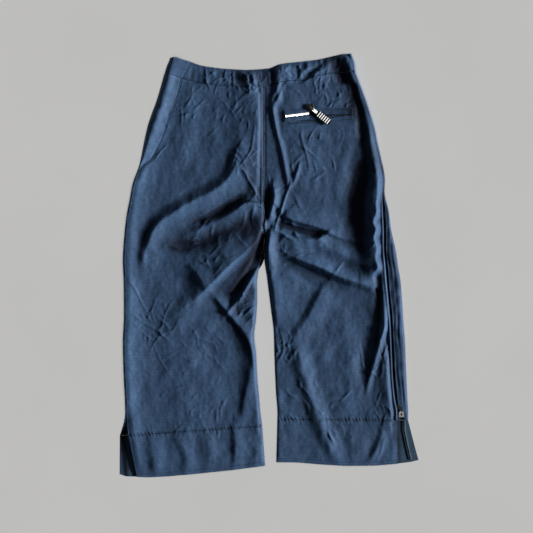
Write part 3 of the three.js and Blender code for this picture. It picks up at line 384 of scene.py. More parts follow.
# Sharp creases, laid over the folds in the same way
CREASES = (
    # centre back and crotch
    (4, 3, 0.5, ((-15, 130, 1.2), (-15.5, 220, 1.4), (-16, 300, 1.4), (-16, 372, 1))),
    (3, 3, 0.3, ((-8, 150, -0.8), (-8, 260, -1), (-8, 372, -0.8))),
    (4, 5, 0.5, ((-21, 140, 1.5), (-30, 158, 2.6), (-43, 180, 2.8), (-56, 204, 1.5))),
    (4, 4, 0.5, ((-60, 208, 1), (-50, 222, 2.2), (-38, 240, 2.4), (-34, 260, 1.5), (-30, 290, 0.8))),
    (5, 3, 0.4, ((-50, 216, 0.8), (-34, 232, 1.6), (-20, 244, 1))),
    (4, 5, 0.5, ((-14, 40, 1), (-9, 62, 2.6), (-9, 84, 3.2), (-8, 104, 2.6), (-12, 114, 1))),
    (3, 3, 0.6, ((-64, 120, 1), (-50, 130, 2.6), (-34, 131, 3), (-18, 124, 3), (-8, 116, 1.6))),
    (6, 5, 0.5, ((-28, 150, 1.5), (-36, 138, 1.6), (-44, 130, 1))),
    (4, 4, 0.5, ((12, 74, 2), (18, 94, 3.4), (26, 116, 3.6), (35, 145, 3.6), (44, 168, 3),
        (48, 184, 1.5))),
    (6, 6, 0.1, ((21, 74, -2), (24, 88, -3.5), (29, 102, -3.5), (33, 116, -1))),
    (4, 9, 0.4, ((44, 160, 1), (52, 178, 3.2), (60, 200, 3), (64, 218, 1))),
    (5, 5, 0.4, ((48, 208, 0.8), (62, 224, 1.8), (70, 232, 0.8))),
    (4, 6, 0.4, ((84, 200, 0.5), (80, 226, 1.5), (72, 252, 1.5), (66, 270, 0.5))),
    (5, 5, 0.3, ((-4, 152, 1), (14, 158, 1.6), (30, 166, 0.8))),
    (4, 4, 0.3, ((6, 150, 1.2), (2, 170, 1.8), (-2, 190, 0.8))),
    # left hip
    (3, 4, 0.4, ((-240, 222, 0.8), (-228, 238, 1.8), (-214, 252, 0.8))),
    (3, 4, 0.3, ((-128, 270, 0.4), (-116, 282, 1), (-104, 292, 0.4))),
    (5, 8, 0.2, ((-78, 328, 0.5), (-60, 348, 1.4), (-38, 366, 1.2))),
    (3, 5, 0.2, ((-170, 354, 0.3), (-152, 366, 0.9), (-138, 378, 0.5))),
    (4, 5, 0.3, ((-40, 358, 0.6), (-28, 368, 1.6), (-20, 376, 0.6))),
    (4, 5, 0.3, ((-84, 200, 0.8), (-74, 222, 1.8), (-66, 244, 1.2), (-54, 266, 0.5))),
    # waistband
    (3, 4, 0.4, ((-131, 382, 1.6), (-132, 400, 2.4), (-134, 416, 1.6))),
    (3, 5, 0.3, ((-75, 376, 1.2), (-75, 394, 2), (-77, 410, 1.4))),
    (8, 10, 0.1, ((-178, 394, 0.8), (-170, 412, 1.4), (-165, 428, 0.8))),
    (3, 4, 0.4, ((-40, 384, 0.6), (-50, 398, 1.8), (-62, 409, 0.8))),
    (3, 4, 0.4, ((-28, 384, 0.8), (-38, 400, 1.8), (-46, 409, 0.8))),
    (6, 5, 0.3, ((-20, 380, 1), (-24, 396, 2), (-22, 410, 1))),
    (5, 4, 0.3, ((2, 382, 1), (0, 398, 2), (-4, 412, 1))),
    (3, 4, 0.3, ((118, 392, 0.8), (122, 408, 1.6), (126, 424, 0.6))),
    (3, 4, 0.3, ((140, 400, 0.6), (144, 416, 1.4), (150, 434, 0.6))),
    # left thigh and knee
    (3, 4, 0.5, ((-256, -94, 0.6), (-268, -76, 1.6), (-280, -50, 1.8), (-292, -34, 1), (-300, -28, 0.5))),
    (3, 4, 0.5, ((-222, -142, 1), (-240, -132, 1.8), (-262, -120, 2), (-286, -101, 0.8))),
    (3, 4, 0.5, ((-250, -182, 0.5), (-240, -162, 1.4), (-222, -143, 1.6), (-202, -136, 1.6),
        (-190, -114, 0.6))),
    (3, 3, 0.5, ((-226, -134, 0.6), (-216, -98, 1.6), (-198, -70, 0.6))),
    (3, 4, 0.5, ((-260, -104, 0.5), (-246, -94, 1.4), (-238, -70, 0.6))),
    (3, 4, 0.4, ((-204, -236, 0.4), (-226, -202, 1), (-241, -168, 0.6))),
    (3, 4, 0.4, ((-224, -198, 0.4), (-206, -188, 1), (-190, -177, 0.4))),
    (4, 4, 0.4, ((-108, -182, 0.4), (-116, -164, 1.2), (-140, -154, 1.2), (-162, -147, 0.5))),
    (4, 6, 0.3, ((-96, -216, 0.4), (-128, -186, 1), (-150, -164, 0.5))),
    (3, 5, 0.4, ((-40, 34, 0.5), (-54, 46, 1.5), (-70, 64, 0.8))),
    (4, 5, 0.3, ((-60, 78, 0.5), (-52, 92, 1.5), (-50, 112, 1))),
    (4, 5, 0.3, ((-34, 84, 0.5), (-36, 100, 1.6), (-32, 120, 1))),
    (4, 6, 0.3, ((-188, 32, 0.5), (-204, 42, 1.6), (-224, 40, 0.8))),
    (3, 4, 0.3, ((-118, -22, 0.4), (-106, -8, 1.2), (-96, 6, 0.4))),
    # crumpled inseam at the left knee
    (3, 4, 0.4, ((-58, -112, 0.6), (-44, -96, 1.6), (-30, -86, 0.8))),
    (3, 4, 0.4, ((-66, -92, 0.6), (-50, -80, 1.8), (-34, -74, 0.8))),
    (3, 4, 0.4, ((-52, -126, 0.6), (-40, -112, 1.6), (-28, -104, 0.6))),
    (3, 4, 0.4, ((-48, -62, 0.6), (-38, -52, 1.8), (-30, -36, 0.8))),
    (3, 4, 0.4, ((-40, -140, 0.6), (-34, -128, 1.6), (-28, -122, 0.6))),
    (3, 4, 0.4, ((-36, -48, 0.6), (-32, -34, 1.6), (-28, -20, 0.8))),
    (3, 4, 0.4, ((-60, -76, 0.5), (-54, -64, 1.2), (-50, -54, 0.5))),
    # round the pocket
    (3, 4, 0.3, ((104, 342, 0.4), (110, 352, 1), (120, 366, 0.4))),
    (3, 4, 0.3, ((124, 332, 0.4), (130, 338, 1.1), (133, 350, 0.4))),
    (3, 4, 0.3, ((140, 334, 0.4), (146, 342, 1.1), (158, 346, 0.4))),
    (3, 4, 0.3, ((158, 330, 0.4), (166, 338, 1), (176, 342, 0.4))),
    (4, 5, 0.3, ((40, 286, 0.3), (58, 282, 0.9), (84, 286, 0.4))),
    (4, 6, 0.2, ((70, 352, 0.3), (58, 366, 0.9), (40, 374, 0.4))),
    (3, 5, 0.3, ((96, 356, 0.3), (98, 372, 1.1), (92, 386, 0.4))),
    (3, 5, 0.3, ((112, 362, 0.3), (116, 378, 1.1), (112, 392, 0.4))),
    (3, 5, 0.2, ((150, 290, 0.3), (156, 276, 0.8), (150, 256, 0.3))),
    # right thigh
    (4, 4, 0.5, ((-8, 78, 1), (17, 73, 2.2), (34, 62, 2.8), (48, 56, 2.8), (78, 54, 2.4),
        (106, 56, 1.2))),
    (5, 5, 0.3, ((138, -16, 0.8), (146, -4, 2.2), (156, 8, 1))),
    (5, 8, 0.3, ((20, 46, 0.8), (30, 58, 1.6), (40, 66, 0.6))),
    (3, 4, 0.4, ((222, 94, 0.8), (232, 102, 2.2), (242, 112, 0.8))),
    (3, 4, 0.4, ((224, 60, 0.8), (231, 72, 2.2), (229, 84, 2), (236, 94, 0.8))),
    (3, 4, 0.4, ((226, 44, 0.8), (234, 54, 2.2), (238, 70, 2), (233, 86, 0.8))),
    (3, 5, 0.4, ((224, 78, 0.8), (226, 90, 2), (222, 104, 0.8))),
    (3, 4, 0.4, ((226, 150, 0.6), (234, 158, 1.6), (240, 172, 0.6))),
    (3, 5, 0.3, ((222, 196, 0.6), (229, 204, 1.8), (234, 220, 0.8))),
    (3, 4, 0.4, ((228, 20, 0.8), (233, 34, 2), (236, 48, 0.8))),
    (5, 7, 0.2, ((74, 108, 0.4), (62, 128, 1.2), (52, 150, 0.6))),
    # right knee and shin
    (3, 4, 0.4, ((22, -196, 0.5), (30, -174, 1.6), (28, -150, 0.8))),
    (3, 4, 0.4, ((40, -168, 0.5), (44, -150, 1.4), (38, -136, 0.6))),
    (4, 4, 0.3, ((200, -244, 0.5), (196, -200, 1.4), (190, -166, 0.6))),
    (4, 6, 0.3, ((222, -418, 0.5), (234, -390, 1.4), (240, -366, 0.6))),
)


# Small helpers
def mix(a, b, t):
    return a + (b - a) * t


def ease(t):
    t = np.clip(t, 0, 1)
    return t * t * (3 - 2 * t)


def last_part(t, over):
    """0 until the last of over equal parts of t, and from there up to 1."""
    return ease(t * over - (over - 1))


def rounded(t):
    """A quarter circle from 0 at t = 0 to 1 at t = 1."""
    return np.sqrt(1 - (1 - np.clip(t, 0, 1)) ** 2)


def along(curve, x):
    return np.interp(x, *zip(*curve))


def through(points, place):
    """Catmull-Rom curve through rows of numbers, at places counted in rows."""
    points = np.array(points, float)
    last = len(points) - 1
    i = np.clip(np.floor(place).astype(int), 0, last - 1)
    a, b, c, d = (points[np.clip(i + k, 0, last)] for k in (-1, 0, 1, 2))
    f = (place - i)[:, None]
    squared, cubed = 2 * a - 5 * b + 4 * c - d, 3 * b - a - 3 * c + d
    return 0.5 * (2 * b + (c - a) * f + squared * f ** 2 + cubed * f ** 3)


def sections(table, columns, t):
    """A table's rows at fractions t of its length: one column vector for each name."""
    rows = through(table, np.clip(t, 0, 1) * (len(table) - 1))
    return {name: rows[:, k:k + 1] for k, name in enumerate(columns)}


def divisions(length, step=CLOTH_STEP, rim=5, fine=0.7):
    """Fractions of a length, closer together within rim of both ends, with an even number of gaps."""
    near = math.ceil(rim / fine)
    middle = 2 * max(1, round((length - 2 * rim) / step / 2))
    ends = np.arange(near) * rim / near
    places = np.concatenate([ends, np.linspace(rim, length - rim, middle + 1), length - ends[::-1]])
    return places / length


# Height field
def field_grid():
    return np.meshgrid(np.arange(*FIELD_X, FIELD_STEP), np.arange(*FIELD_Y, FIELD_STEP))


def stroke(x, y, left, right, sharp, path):
    """Height that one fold adds at (x, y)."""
    path = np.array(path, float)
    lengths = np.hypot(*np.diff(path[:, :2], axis=0).T)
    steps = [i + np.arange(0, 1, PATH_STEP / max(PATH_STEP, d)) for i, d in enumerate(lengths)]
    points = through(path, np.append(np.concatenate(steps), len(path) - 1))
    reach = max(left, right)
    low, high = points[:, :2].min(0) - reach, points[:, :2].max(0) + reach
    near = (x > low[0]) & (x < high[0]) & (y > low[1]) & (y < high[1])
    px, py = x[near], y[near]
    best, side, crest = np.full(px.shape, np.inf), np.zeros(px.shape), np.zeros(px.shape)
    for a, b in zip(points, points[1:]):
        dx, dy = b[:2] - a[:2]
        t = np.clip(((px - a[0]) * dx + (py - a[1]) * dy) / (dx * dx + dy * dy), 0, 1)
        ox, oy = px - a[0] - t * dx, py - a[1] - t * dy
        distance = np.hypot(ox, oy)
        nearer = distance < best
        best[nearer] = distance[nearer]
        side[nearer] = (dx * oy - dy * ox)[nearer]
        crest[nearer] = mix(a[2], b[2], t)[nearer]
    u = np.clip(best / np.where(side > 0, left, right), 0, 1)
    height = np.zeros(x.shape)
    height[near] = crest * mix(1 - ease(u), (1 - u) ** 2, sharp)
    return height


def blurred(z, sigma):
    reach = int(3 * sigma)
    kernel = np.exp(-0.5 * (np.arange(-reach, reach + 1) / sigma) ** 2)
    kernel /= kernel.sum()
    for _ in range(2):
        padded = np.pad(z, ((reach, reach), (0, 0)), mode="edge")
        z = sum(weight * padded[k:k + z.shape[0]] for k, weight in enumerate(kernel)).T
    return z


def waves(shape, wavelength, lengthen, seed):
    """Seeded smooth random waves of about one wavelength, longer along Y by lengthen, of height about 1."""
    noise = np.random.default_rng(seed).standard_normal(shape)
    fy = np.fft.fftfreq(shape[0], FIELD_STEP)[:, None] * lengthen
    fx = np.fft.fftfreq(shape[1], FIELD_STEP)[None, :]
    band = np.exp(-((np.hypot(fx, fy) * wavelength - 1) / WAVE_BAND) ** 2)
    z = np.fft.ifft2(np.fft.fft2(noise) * band).real
    return z / z.std()


def painted_shading_of(z):
    """Painted shading on a height grid: how pale the cloth's colour is painted at each place, 1 on crests, 0
    where no light reaches.
    """
    proud = z - (blurred(z, PAINTED_SHADING["near"] / FIELD_STEP) + blurred(z, PAINTED_SHADING["far"] / FIELD_STEP)) / 2
    pale = 0.5 + 0.5 * np.tanh(proud / PAINTED_SHADING["reach"])
    x, y = field_grid()
    for shade in SHADES:
        pale += stroke(x, y, *shade)
    return np.clip(mix(PAINTED_SHADING["in_folds"], 1, pale), 0, 1)


def crumples():
    """Short creases scattered round the places in CRUMPLES, seeded, in the form of the fold table's rows."""
    chance = np.random.default_rng(CRUMPLE["seed"])
    rows = []
    for centre_x, centre_y, reach, count, heading in CRUMPLES:
        for _ in range(count):
            middle = np.array((centre_x, centre_y)) + chance.uniform(-reach, reach, 2) * CRUMPLE["spread"]
            angle = math.radians(heading + chance.normal(0, CRUMPLE["stray"]))
            half = chance.uniform(*CRUMPLE["length"]) / 2 * np.array((math.cos(angle), math.sin(angle)))
            bend = middle + chance.normal(0, CRUMPLE["bend"], 2)
            height = chance.uniform(*CRUMPLE["height"])
            width = chance.uniform(*CRUMPLE["width"])
            path = ((*(middle - half), height / 4), (*bend, height), (*(middle + half), height / 4))
            rows.append((width, width * CRUMPLE["far_side"], CRUMPLE["sharp"], path))
    return rows


def cloth_field():
    """Heights of the back's cloth on a square grid: large folds, the flat pocket, slow waves and creases."""
    x, y = field_grid()
    z = np.full(x.shape, float(LOFT))
    for fold in FOLDS:
        z += stroke(x, y, *fold)
    z = blurred(np.maximum(LOWEST_TOP, z), FOLD_BLUR / FIELD_STEP)
    in_x = ease((x - POCKET["left"]) / POCKET["fade"] + 1) * ease((POCKET["right"] - x) / POCKET["fade"] + 1)
    in_y = ease((y - POCKET["low"]) / POCKET["fade"] + 1) * ease((POCKET["high"] - y) / POCKET["fade"] + 1)
    z = mix(z, POCKET["z"], in_x * in_y)
    small = np.zeros(x.shape)
    for wavelength, lengthen, height, seed in WAVES:
        small += height * waves(z.shape, wavelength, lengthen, seed)
    for fold in (*CREASES, *crumples()):
        small += stroke(x, y, *fold)
    from_zip = np.abs(y - POCKET["y"] - math.tan(math.radians(POCKET["angle"])) * (x - POCKET["x"]))
    small *= 1 - in_x * ease((POCKET_CALM - from_zip) / POCKET_CALM * 3)
    return np.maximum(LOWEST_TOP - 1, z + small)


# Materials
def principled(name, roughness, metallic=0.0, **constants):
    """A new material, its nodes, links and shader, and the object's own coordinates."""
    made = bpy.data.materials.new(name)
    made.use_nodes = True
    nodes = made.node_tree.nodes
    shader = nodes["Principled BSDF"]
    shader.inputs["Roughness"].default_value = roughness
    shader.inputs["Metallic"].default_value = metallic
    for socket, value in constants.items():
        shader.inputs[socket.replace("_", " ")].default_value = value
    at = nodes.new("ShaderNodeTexCoord").outputs["Object"]
    return made, nodes, made.node_tree.links, shader, at


def noise(nodes, links, coordinates, scale, detail=4.0, roughness=0.55):
    node = nodes.new("ShaderNodeTexNoise")
    node.inputs["Scale"].default_value = scale
    node.inputs["Detail"].default_value = detail
    node.inputs["Roughness"].default_value = roughness
    links.new(coordinates, node.inputs["Vector"])
    return node.outputs["Fac"]


def ribs(nodes, links, coordinates, direction, pitch_mm, distortion=0.6):
    """Parallel weave lines, one to each pitch along an axis."""
    node = nodes.new("ShaderNodeTexWave")
    node.wave_type = "BANDS"
    node.bands_direction = direction
    node.inputs["Scale"].default_value = 2 * math.pi / (20 * pitch_mm * MM)
    node.inputs["Distortion"].default_value = distortion
    node.inputs["Detail"].default_value = 1.0
    node.inputs["Detail Scale"].default_value = 0.6
    links.new(coordinates, node.inputs["Vector"])
    return node.outputs["Fac"]


def ramp(nodes, links, value, stops):
    node = nodes.new("ShaderNodeValToRGB")
    elements = node.color_ramp.elements
    while len(elements) < len(stops):
        elements.new(0.5)
    for element, (place, colour) in zip(elements, stops):
        element.position = place
        element.color = (*colour, 1)
    links.new(value, node.inputs["Fac"])
    return node.outputs["Color"]


def bump(nodes, links, height, distance_mm, after=None):
    node = nodes.new("ShaderNodeBump")
    node.inputs["Distance"].default_value = distance_mm * MM
    node.inputs["Strength"].default_value = 1
    links.new(height, node.inputs["Height"])
    if after is not None:
        links.new(after, node.inputs["Normal"])
    return node.outputs["Normal"]


def multiplied(nodes, links, a, b):
    node = nodes.new("ShaderNodeMix")
    node.data_type = "RGBA"
    node.blend_type = "MULTIPLY"
    node.inputs["Factor"].default_value = 1
    links.new(a, node.inputs["A"])
    links.new(b, node.inputs["B"])
    return node.outputs["Result"]


def roughened(nodes, links, value, low, high, shader):
    """Roughness from low to high, as value goes from 0 to 1."""
    rough = nodes.new("ShaderNodeMapRange")
    rough.inputs["To Min"].default_value = low
    rough.inputs["To Max"].default_value = high
    links.new(value, rough.inputs["Value"])
    links.new(rough.outputs["Result"], shader.inputs["Roughness"])


def scaled(colour, k):
    return tuple(min(1, channel * k) for channel in colour)


# How the painted shading values on the cloth change its colour: near black for painted shade in deep folds,
# paler than the cloth for painted highlight on crests
PALER = ((0.0, (0.12, 0.13, 0.17)), (0.2, (0.5, 0.5, 0.52)), (0.6, (1.0, 1.0, 1.0)), (1.0, (1.4, 1.38, 1.34)))


def woven(name, colour, rib_mm=3.2, warp_mm=1.4, roughness=0.62, rib_bump=0.13, crumple=0.4):
    """Washed cotton-nylon cloth: cross ribs, fine warp, small crumples, uneven colour, and painted shade and
    highlight from the cloth's painted shading values.
    """
    made, nodes, links, shader, at = principled(name, roughness, Sheen_Weight=0.12,
                                                Sheen_Roughness=0.4, Specular_IOR_Level=0.2)
    shader.inputs["Sheen Tint"].default_value = (0.45, 0.62, 1.0, 1)
    cloud = noise(nodes, links, at, 14)
    mottle = noise(nodes, links, at, 130, detail=6, roughness=0.7)
    rib = ribs(nodes, links, at, "Y", rib_mm)
    warp = ribs(nodes, links, at, "X", warp_mm, distortion=1.2)
    base = ramp(nodes, links, cloud, ((0.3, scaled(colour, 0.88)), (0.7, scaled(colour, 1.12))))
    dull = ramp(nodes, links, mottle, ((0.3, (0.72, 0.72, 0.77)), (0.68, (1.18, 1.18, 1.14))))
    base = multiplied(nodes, links, base, dull)
    # painted shade and highlight: the colour is darkened in the folds and paled on the crests by the painted
    # shading values
    wear_and_painted_shading = nodes.new("ShaderNodeAttribute")
    wear_and_painted_shading.attribute_name = "wear_and_painted_shading"
    paled = ramp(nodes, links, wear_and_painted_shading.outputs["Fac"], PALER)
    base = multiplied(nodes, links, base, paled)
    line = ramp(nodes, links, rib, ((0.0, (0.90, 0.90, 0.90)), (0.6, (1.0, 1.0, 1.0))))
    base = multiplied(nodes, links, base, line)
    links.new(base, shader.inputs["Base Color"])
    roughened(nodes, links, mottle, roughness - 0.08, roughness + 0.1, shader)
    normal = bump(nodes, links, rib, rib_bump)
    normal = bump(nodes, links, warp, rib_bump * 0.5, after=normal)
    normal = bump(nodes, links, mottle, crumple, after=normal)
    links.new(normal, shader.inputs["Normal"])
    return made


def polished(name, colour, roughness, wear_and_painted_shading):
    """Metal with faint scratches and duller patches."""
    made, nodes, links, shader, at = principled(name, roughness, metallic=1.0)
    patches = noise(nodes, links, at, 260)
    scratches = noise(nodes, links, at, 1800, detail=2)
    base = ramp(nodes, links, patches, ((0.35, scaled(colour, 1 - wear_and_painted_shading)), (0.65, colour)))
    links.new(base, shader.inputs["Base Color"])
    roughened(nodes, links, scratches, roughness * 0.7, roughness * 1.5, shader)
    links.new(bump(nodes, links, scratches, 0.05), shader.inputs["Normal"])
    return made


def rubber(name, colour):
    made, nodes, links, shader, at = principled(name, 0.5, Specular_IOR_Level=0.5)
    grain = noise(nodes, links, at, 900)
    base = ramp(nodes, links, grain, ((0.3, scaled(colour, 0.8)), (0.7, scaled(colour, 1.3))))
    links.new(base, shader.inputs["Base Color"])
    links.new(bump(nodes, links, grain, 0.06), shader.inputs["Normal"])
    return made


NAVY = woven("navy_cloth", (0.042, 0.088, 0.178))
LINING = woven("teal_inside", (0.045, 0.085, 0.135), rib_mm=2.2, roughness=0.45)
TAPE = woven("zip_tape", (0.010, 0.018, 0.032), rib_mm=1.2, warp_mm=0.9, roughness=0.7)
VENT = woven("vent_tape_cloth", (0.045, 0.085, 0.125), rib_mm=1.2, warp_mm=0.9, roughness=0.5)
THREAD = woven("navy_thread", (0.035, 0.062, 0.115), rib_mm=0.8, warp_mm=0.8, roughness=0.6, crumple=0.1)
METAL = polished("bright_metal", (0.80, 0.82, 0.82), 0.28, 0.15)
DULL_METAL = polished("dull_metal", (0.16, 0.16, 0.155), 0.4, 0.4)
BRONZE = polished("dark_bronze", (0.15, 0.115, 0.075), 0.38, 0.5)
RUBBER = rubber("black_rubber", (0.012, 0.013, 0.016))
# pale ribs: partly the rubber's own colour and partly a painted highlight on the ribs
RIB = rubber("pale_rib", (0.80, 0.82, 0.82))


# Meshes
def finished(name, mesh, material, sharp_angle=None):
    """A new piece with faces out, smooth shading and one material."""
    bm = bmesh.new()
    bm.from_mesh(mesh)
    bmesh.ops.recalc_face_normals(bm, faces=bm.faces)
    bm.to_mesh(mesh)
    bm.free()
    mesh.polygons.foreach_set("use_smooth", [True] * len(mesh.polygons))
    if sharp_angle:
        mesh.set_sharp_from_angle(angle=math.radians(sharp_angle))
    mesh.materials.append(material)
    piece = bpy.data.objects.new(name, mesh)
    bpy.context.scene.collection.objects.link(piece)
    return piece


def quads(index):
    """Four-cornered faces of a grid of vertex numbers."""
    corners = [index[:-1, :-1], index[:-1, 1:], index[1:, 1:], index[1:, :-1]]
    return np.stack(corners, -1).reshape(-1, 4).tolist()


def sheet_of(name, outer, inner, material, body="pants"):
    """A closed sheet of cloth from two grids of points in millimetres. The inner grid is used at every second
    point each way, so both counts are odd."""
    inner = inner[::2, ::2]
    rows, columns = outer.shape[:2]
    top = np.arange(rows * columns).reshape(rows, columns)
    under = rows * columns + np.arange(inner.shape[0] * inner.shape[1]).reshape(inner.shape[:2])
    faces = quads(top) + quads(under[:, ::-1])
    rims = ((top[0], under[0]), (top[-1, ::-1], under[-1, ::-1]),
            (top[::-1, 0], under[::-1, 0]), (top[:, -1], under[:, -1]))
    for fine, coarse in rims:
        for k in range(len(coarse) - 1):
            faces.append([int(v) for v in (*fine[2 * k:2 * k + 3], coarse[k + 1], coarse[k])])
    points = np.concatenate([outer.reshape(-1, 3), inner.reshape(-1, 3)]) * MM
    mesh = bpy.data.meshes.new(name)
    mesh.from_pydata(points.tolist(), [], faces)
    # painted shade and highlight: each point's painted shading value, taken from the height field
    set_painted_shading(mesh, value_at(PAINTED_SHADING_GRID, points[:, 0] / MM, points[:, 1] / MM))
    piece = finished(name, mesh, material)
    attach(piece, body)
    return piece


def set_painted_shading(mesh, values):
    """The painted shading values that the cloth's colour reads, one to each point: painted shade in folds,
    painted highlight on crests.
    """
    mesh.attributes.new("wear_and_painted_shading", "FLOAT", "POINT").data.foreach_set("value", values)


def beneath(top):
    """The under side of a top grid, one cloth's thickness below it along its normals."""
    across = np.gradient(top, axis=1)
    down = np.gradient(top, axis=0)
    normal = np.cross(across, down)
    normal *= np.sign(normal[..., 2:].mean()) / np.linalg.norm(normal, axis=-1, keepdims=True)
    under = top - normal * CLOTH
    under[..., :2] = mix(top[..., :2], under[..., :2], UNDER_SIDE["shift"])
    under[..., 2] = np.maximum(UNDER_SIDE["low"], under[..., 2])
    return under


def value_at(grid, x, y):
    """A grid's value between its points."""
    column = np.clip((x - FIELD_X[0]) / FIELD_STEP, 0, grid.shape[1] - 1.001)
    row = np.clip((y - FIELD_Y[0]) / FIELD_STEP, 0, grid.shape[0] - 1.001)
    c, r = column.astype(int), row.astype(int)
    fc, fr = column - c, row - r
    return mix(mix(grid[r, c], grid[r, c + 1], fc), mix(grid[r + 1, c], grid[r + 1, c + 1], fc), fr)


def field_at(x, y):
    return value_at(FIELD, x, y)


# Leg panels
def row_y(table, t, u, x):
    """How far up a leg's row lies at fraction u across it, with the first rows drawn to the waist seam."""
    def line(row):
        return mix(row["y"], row["inner_y"], u) - row["sag"] * 4 * u * (1 - u)

    to_seam = along(WAIST_SEAM, x) - SEAM_GAP - line(sections(table, LEG_COLUMNS, np.zeros(1)))
    return line(sections(table, LEG_COLUMNS, t)) + to_seam * ease(1 - 6 * t[:, None])


def back_leg(side, table, hem):
    t = divisions(LEG_LENGTH)
    row = sections(table, LEG_COLUMNS, t)
    u = divisions(LEG_WIDTH)[None, :]
    x = mix(row["back"], row["inner"], u)
    y = row_y(table, t, u, x)
    joined = mix(row["back_z"], field_at(x, y), ease(np.abs(x - row["back"]) / SEAM_BLEND))
    rolled = mix(EDGE_TOP, joined, rounded(np.abs(x - row["inner"]) / EDGE_ROLL))
    z = np.maximum(EDGE_TOP, mix(rolled, joined, ease((y - CROTCH_Y + CROTCH_FADE) / (2 * CROTCH_FADE))))
    z += hem_puckers(x, y, hem) * ease((y - along(hem["seam"], x) - PUCKER["starts_above"]) / PUCKER["fade"])
    if side == "right":
        z += zip_rim(np.abs(x - row["back"]), y)
    z -= seam_dip(y - along(WAIST_SEAM, x))
    top = np.stack([x, y, z], -1)
    piece = sheet_of(f"back_{side}_leg_cloth", top, beneath(top), NAVY)
    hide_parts(f"back_{side}_leg")
    return piece


def seam_dip(off):
    """Cloth is drawn down beside the waist seam."""
    return SEAM_DIP["depth"] * np.exp(-(off / SEAM_DIP["reach"]) ** 2)


def zip_rim(inward, y):
    """The stitched edge beside the side zip stands up, with a gutter behind it."""
    rim = np.exp(-((inward - RIM["at"]) / RIM["reach"]) ** 2)
    return RIM["height"] * rim * ease((ZIP["top"] + RIM["fade"] - y) / RIM["fade"])


def turned_side(row):
    """A front panel's side in section, from the table round the edge to the end of the turn."""
    out = np.sign(row["edge"] - row["back"])
    points = (
        (row["edge"] - out * 4, 0 * out), (row["edge"] - out * 1.2, 0.7 + 0 * out),
        (row["edge"], row["crest_z"] * 0.42), (mix(row["edge"], row["crest"], 0.45), row["crest_z"] * 0.86),
        (row["crest"], row["crest_z"]),
        (mix(row["crest"], row["turn"], 0.55), mix(row["crest_z"], row["turn_z"], 0.62)),
        (row["turn"], row["turn_z"]),
    )
    places = np.linspace(0, len(points) - 1, TURN_COLUMNS)
    flat = np.concatenate([np.concatenate(p, -1) for p in points], -1)
    stacked = flat.reshape(len(flat), len(points), 2).transpose(1, 0, 2).reshape(len(points), -1)
    return through(stacked, places).reshape(TURN_COLUMNS, -1, 2).transpose(1, 0, 2)


def inside_of(outer, towards):
    """The inside of a front section that runs along the table towards side (1 or -1 along X)."""
    tangent = np.gradient(outer[..., [0, 2]], axis=1)
    tangent /= np.maximum(np.linalg.norm(tangent, axis=-1, keepdims=True), 1e-9)
    inner = outer.copy()
    inner[..., 0] -= towards * tangent[..., 1] * CLOTH
    inner[..., 2] += towards * tangent[..., 0] * CLOTH
    return inner


def front_leg(side, table):
    t = divisions(LEG_LENGTH)
    row = sections(table, LEG_COLUMNS, t)
    turn = turned_side(row)
    floor_x = mix(row["inner"], turn[:, :1, 0], np.arange(FLOOR_COLUMNS)[None, :] / FLOOR_COLUMNS)
    x = np.concatenate([floor_x, turn[..., 0]], 1)
    z = np.concatenate([0 * floor_x, turn[..., 1]], 1)
    y = row_y(table, t, (x - row["back"]) / (row["inner"] - row["back"]), x)
    up = ease((z - 4) / 3)
    z += up * TURN_WAVE * waves_at(x, y)
    if side == "right":
        from_zip = np.abs(x - row["turn"])
        phase = from_zip * 2 * math.pi / PLEAT["pitch"] + 0.9 * np.sin(y / 31) + 0.5 * np.sin(y / 13)
        near = ease((PLEAT["reach"] - from_zip) / PLEAT["fade"])
        pleats = np.cos(phase) * near * (0.65 + 0.35 * np.sin(y / 19 + from_zip / 5))
        z += up * PLEAT["height"] * pleats * ease((ZIP["top"] - y) / RIM["fade"])
    z = np.maximum(z, 0)
    outer = np.stack([x, y, z], -1)
    towards = np.sign(float(row["edge"][0, 0] - row["inner"][0, 0]))
    piece = sheet_of(f"front_{side}_leg_cloth", outer, inside_of(outer, towards), NAVY)
    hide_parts(f"front_{side}_leg")
    return piece


def waves_at(x, y):
    """Small soft waves for cloth that the field doesn't reach."""
    slow = np.sin(x / 4.1 + 2 * np.sin(y / 23)) * np.sin(y / 11 + np.sin(x / 9))
    return slow + 0.6 * np.sin(y / 5.3 + x / 7)


def hem_puckers(x, y, hem):
    """Small gathers along the seam above a hem band."""
    off = y - along(hem["seam"], x)
    phase = x * 2 * math.pi / PUCKER["pitch"]
    fine = np.sin(phase + 1.3 * np.sin(x / 17) + off / 3) * (0.6 + 0.4 * np.sin(x / 23))
    slow = 0.5 * np.sin(phase * 0.37 + 2)
    return PUCKER["height"] * (fine + slow) * np.exp(-(off / PUCKER["reach"]) ** 2)


# Waistband
def band_y(x, t, drop=0):
    return mix(along(WAIST_SEAM, x) + SEAM_GAP, along(WAIST_TOP, x) - drop, t)


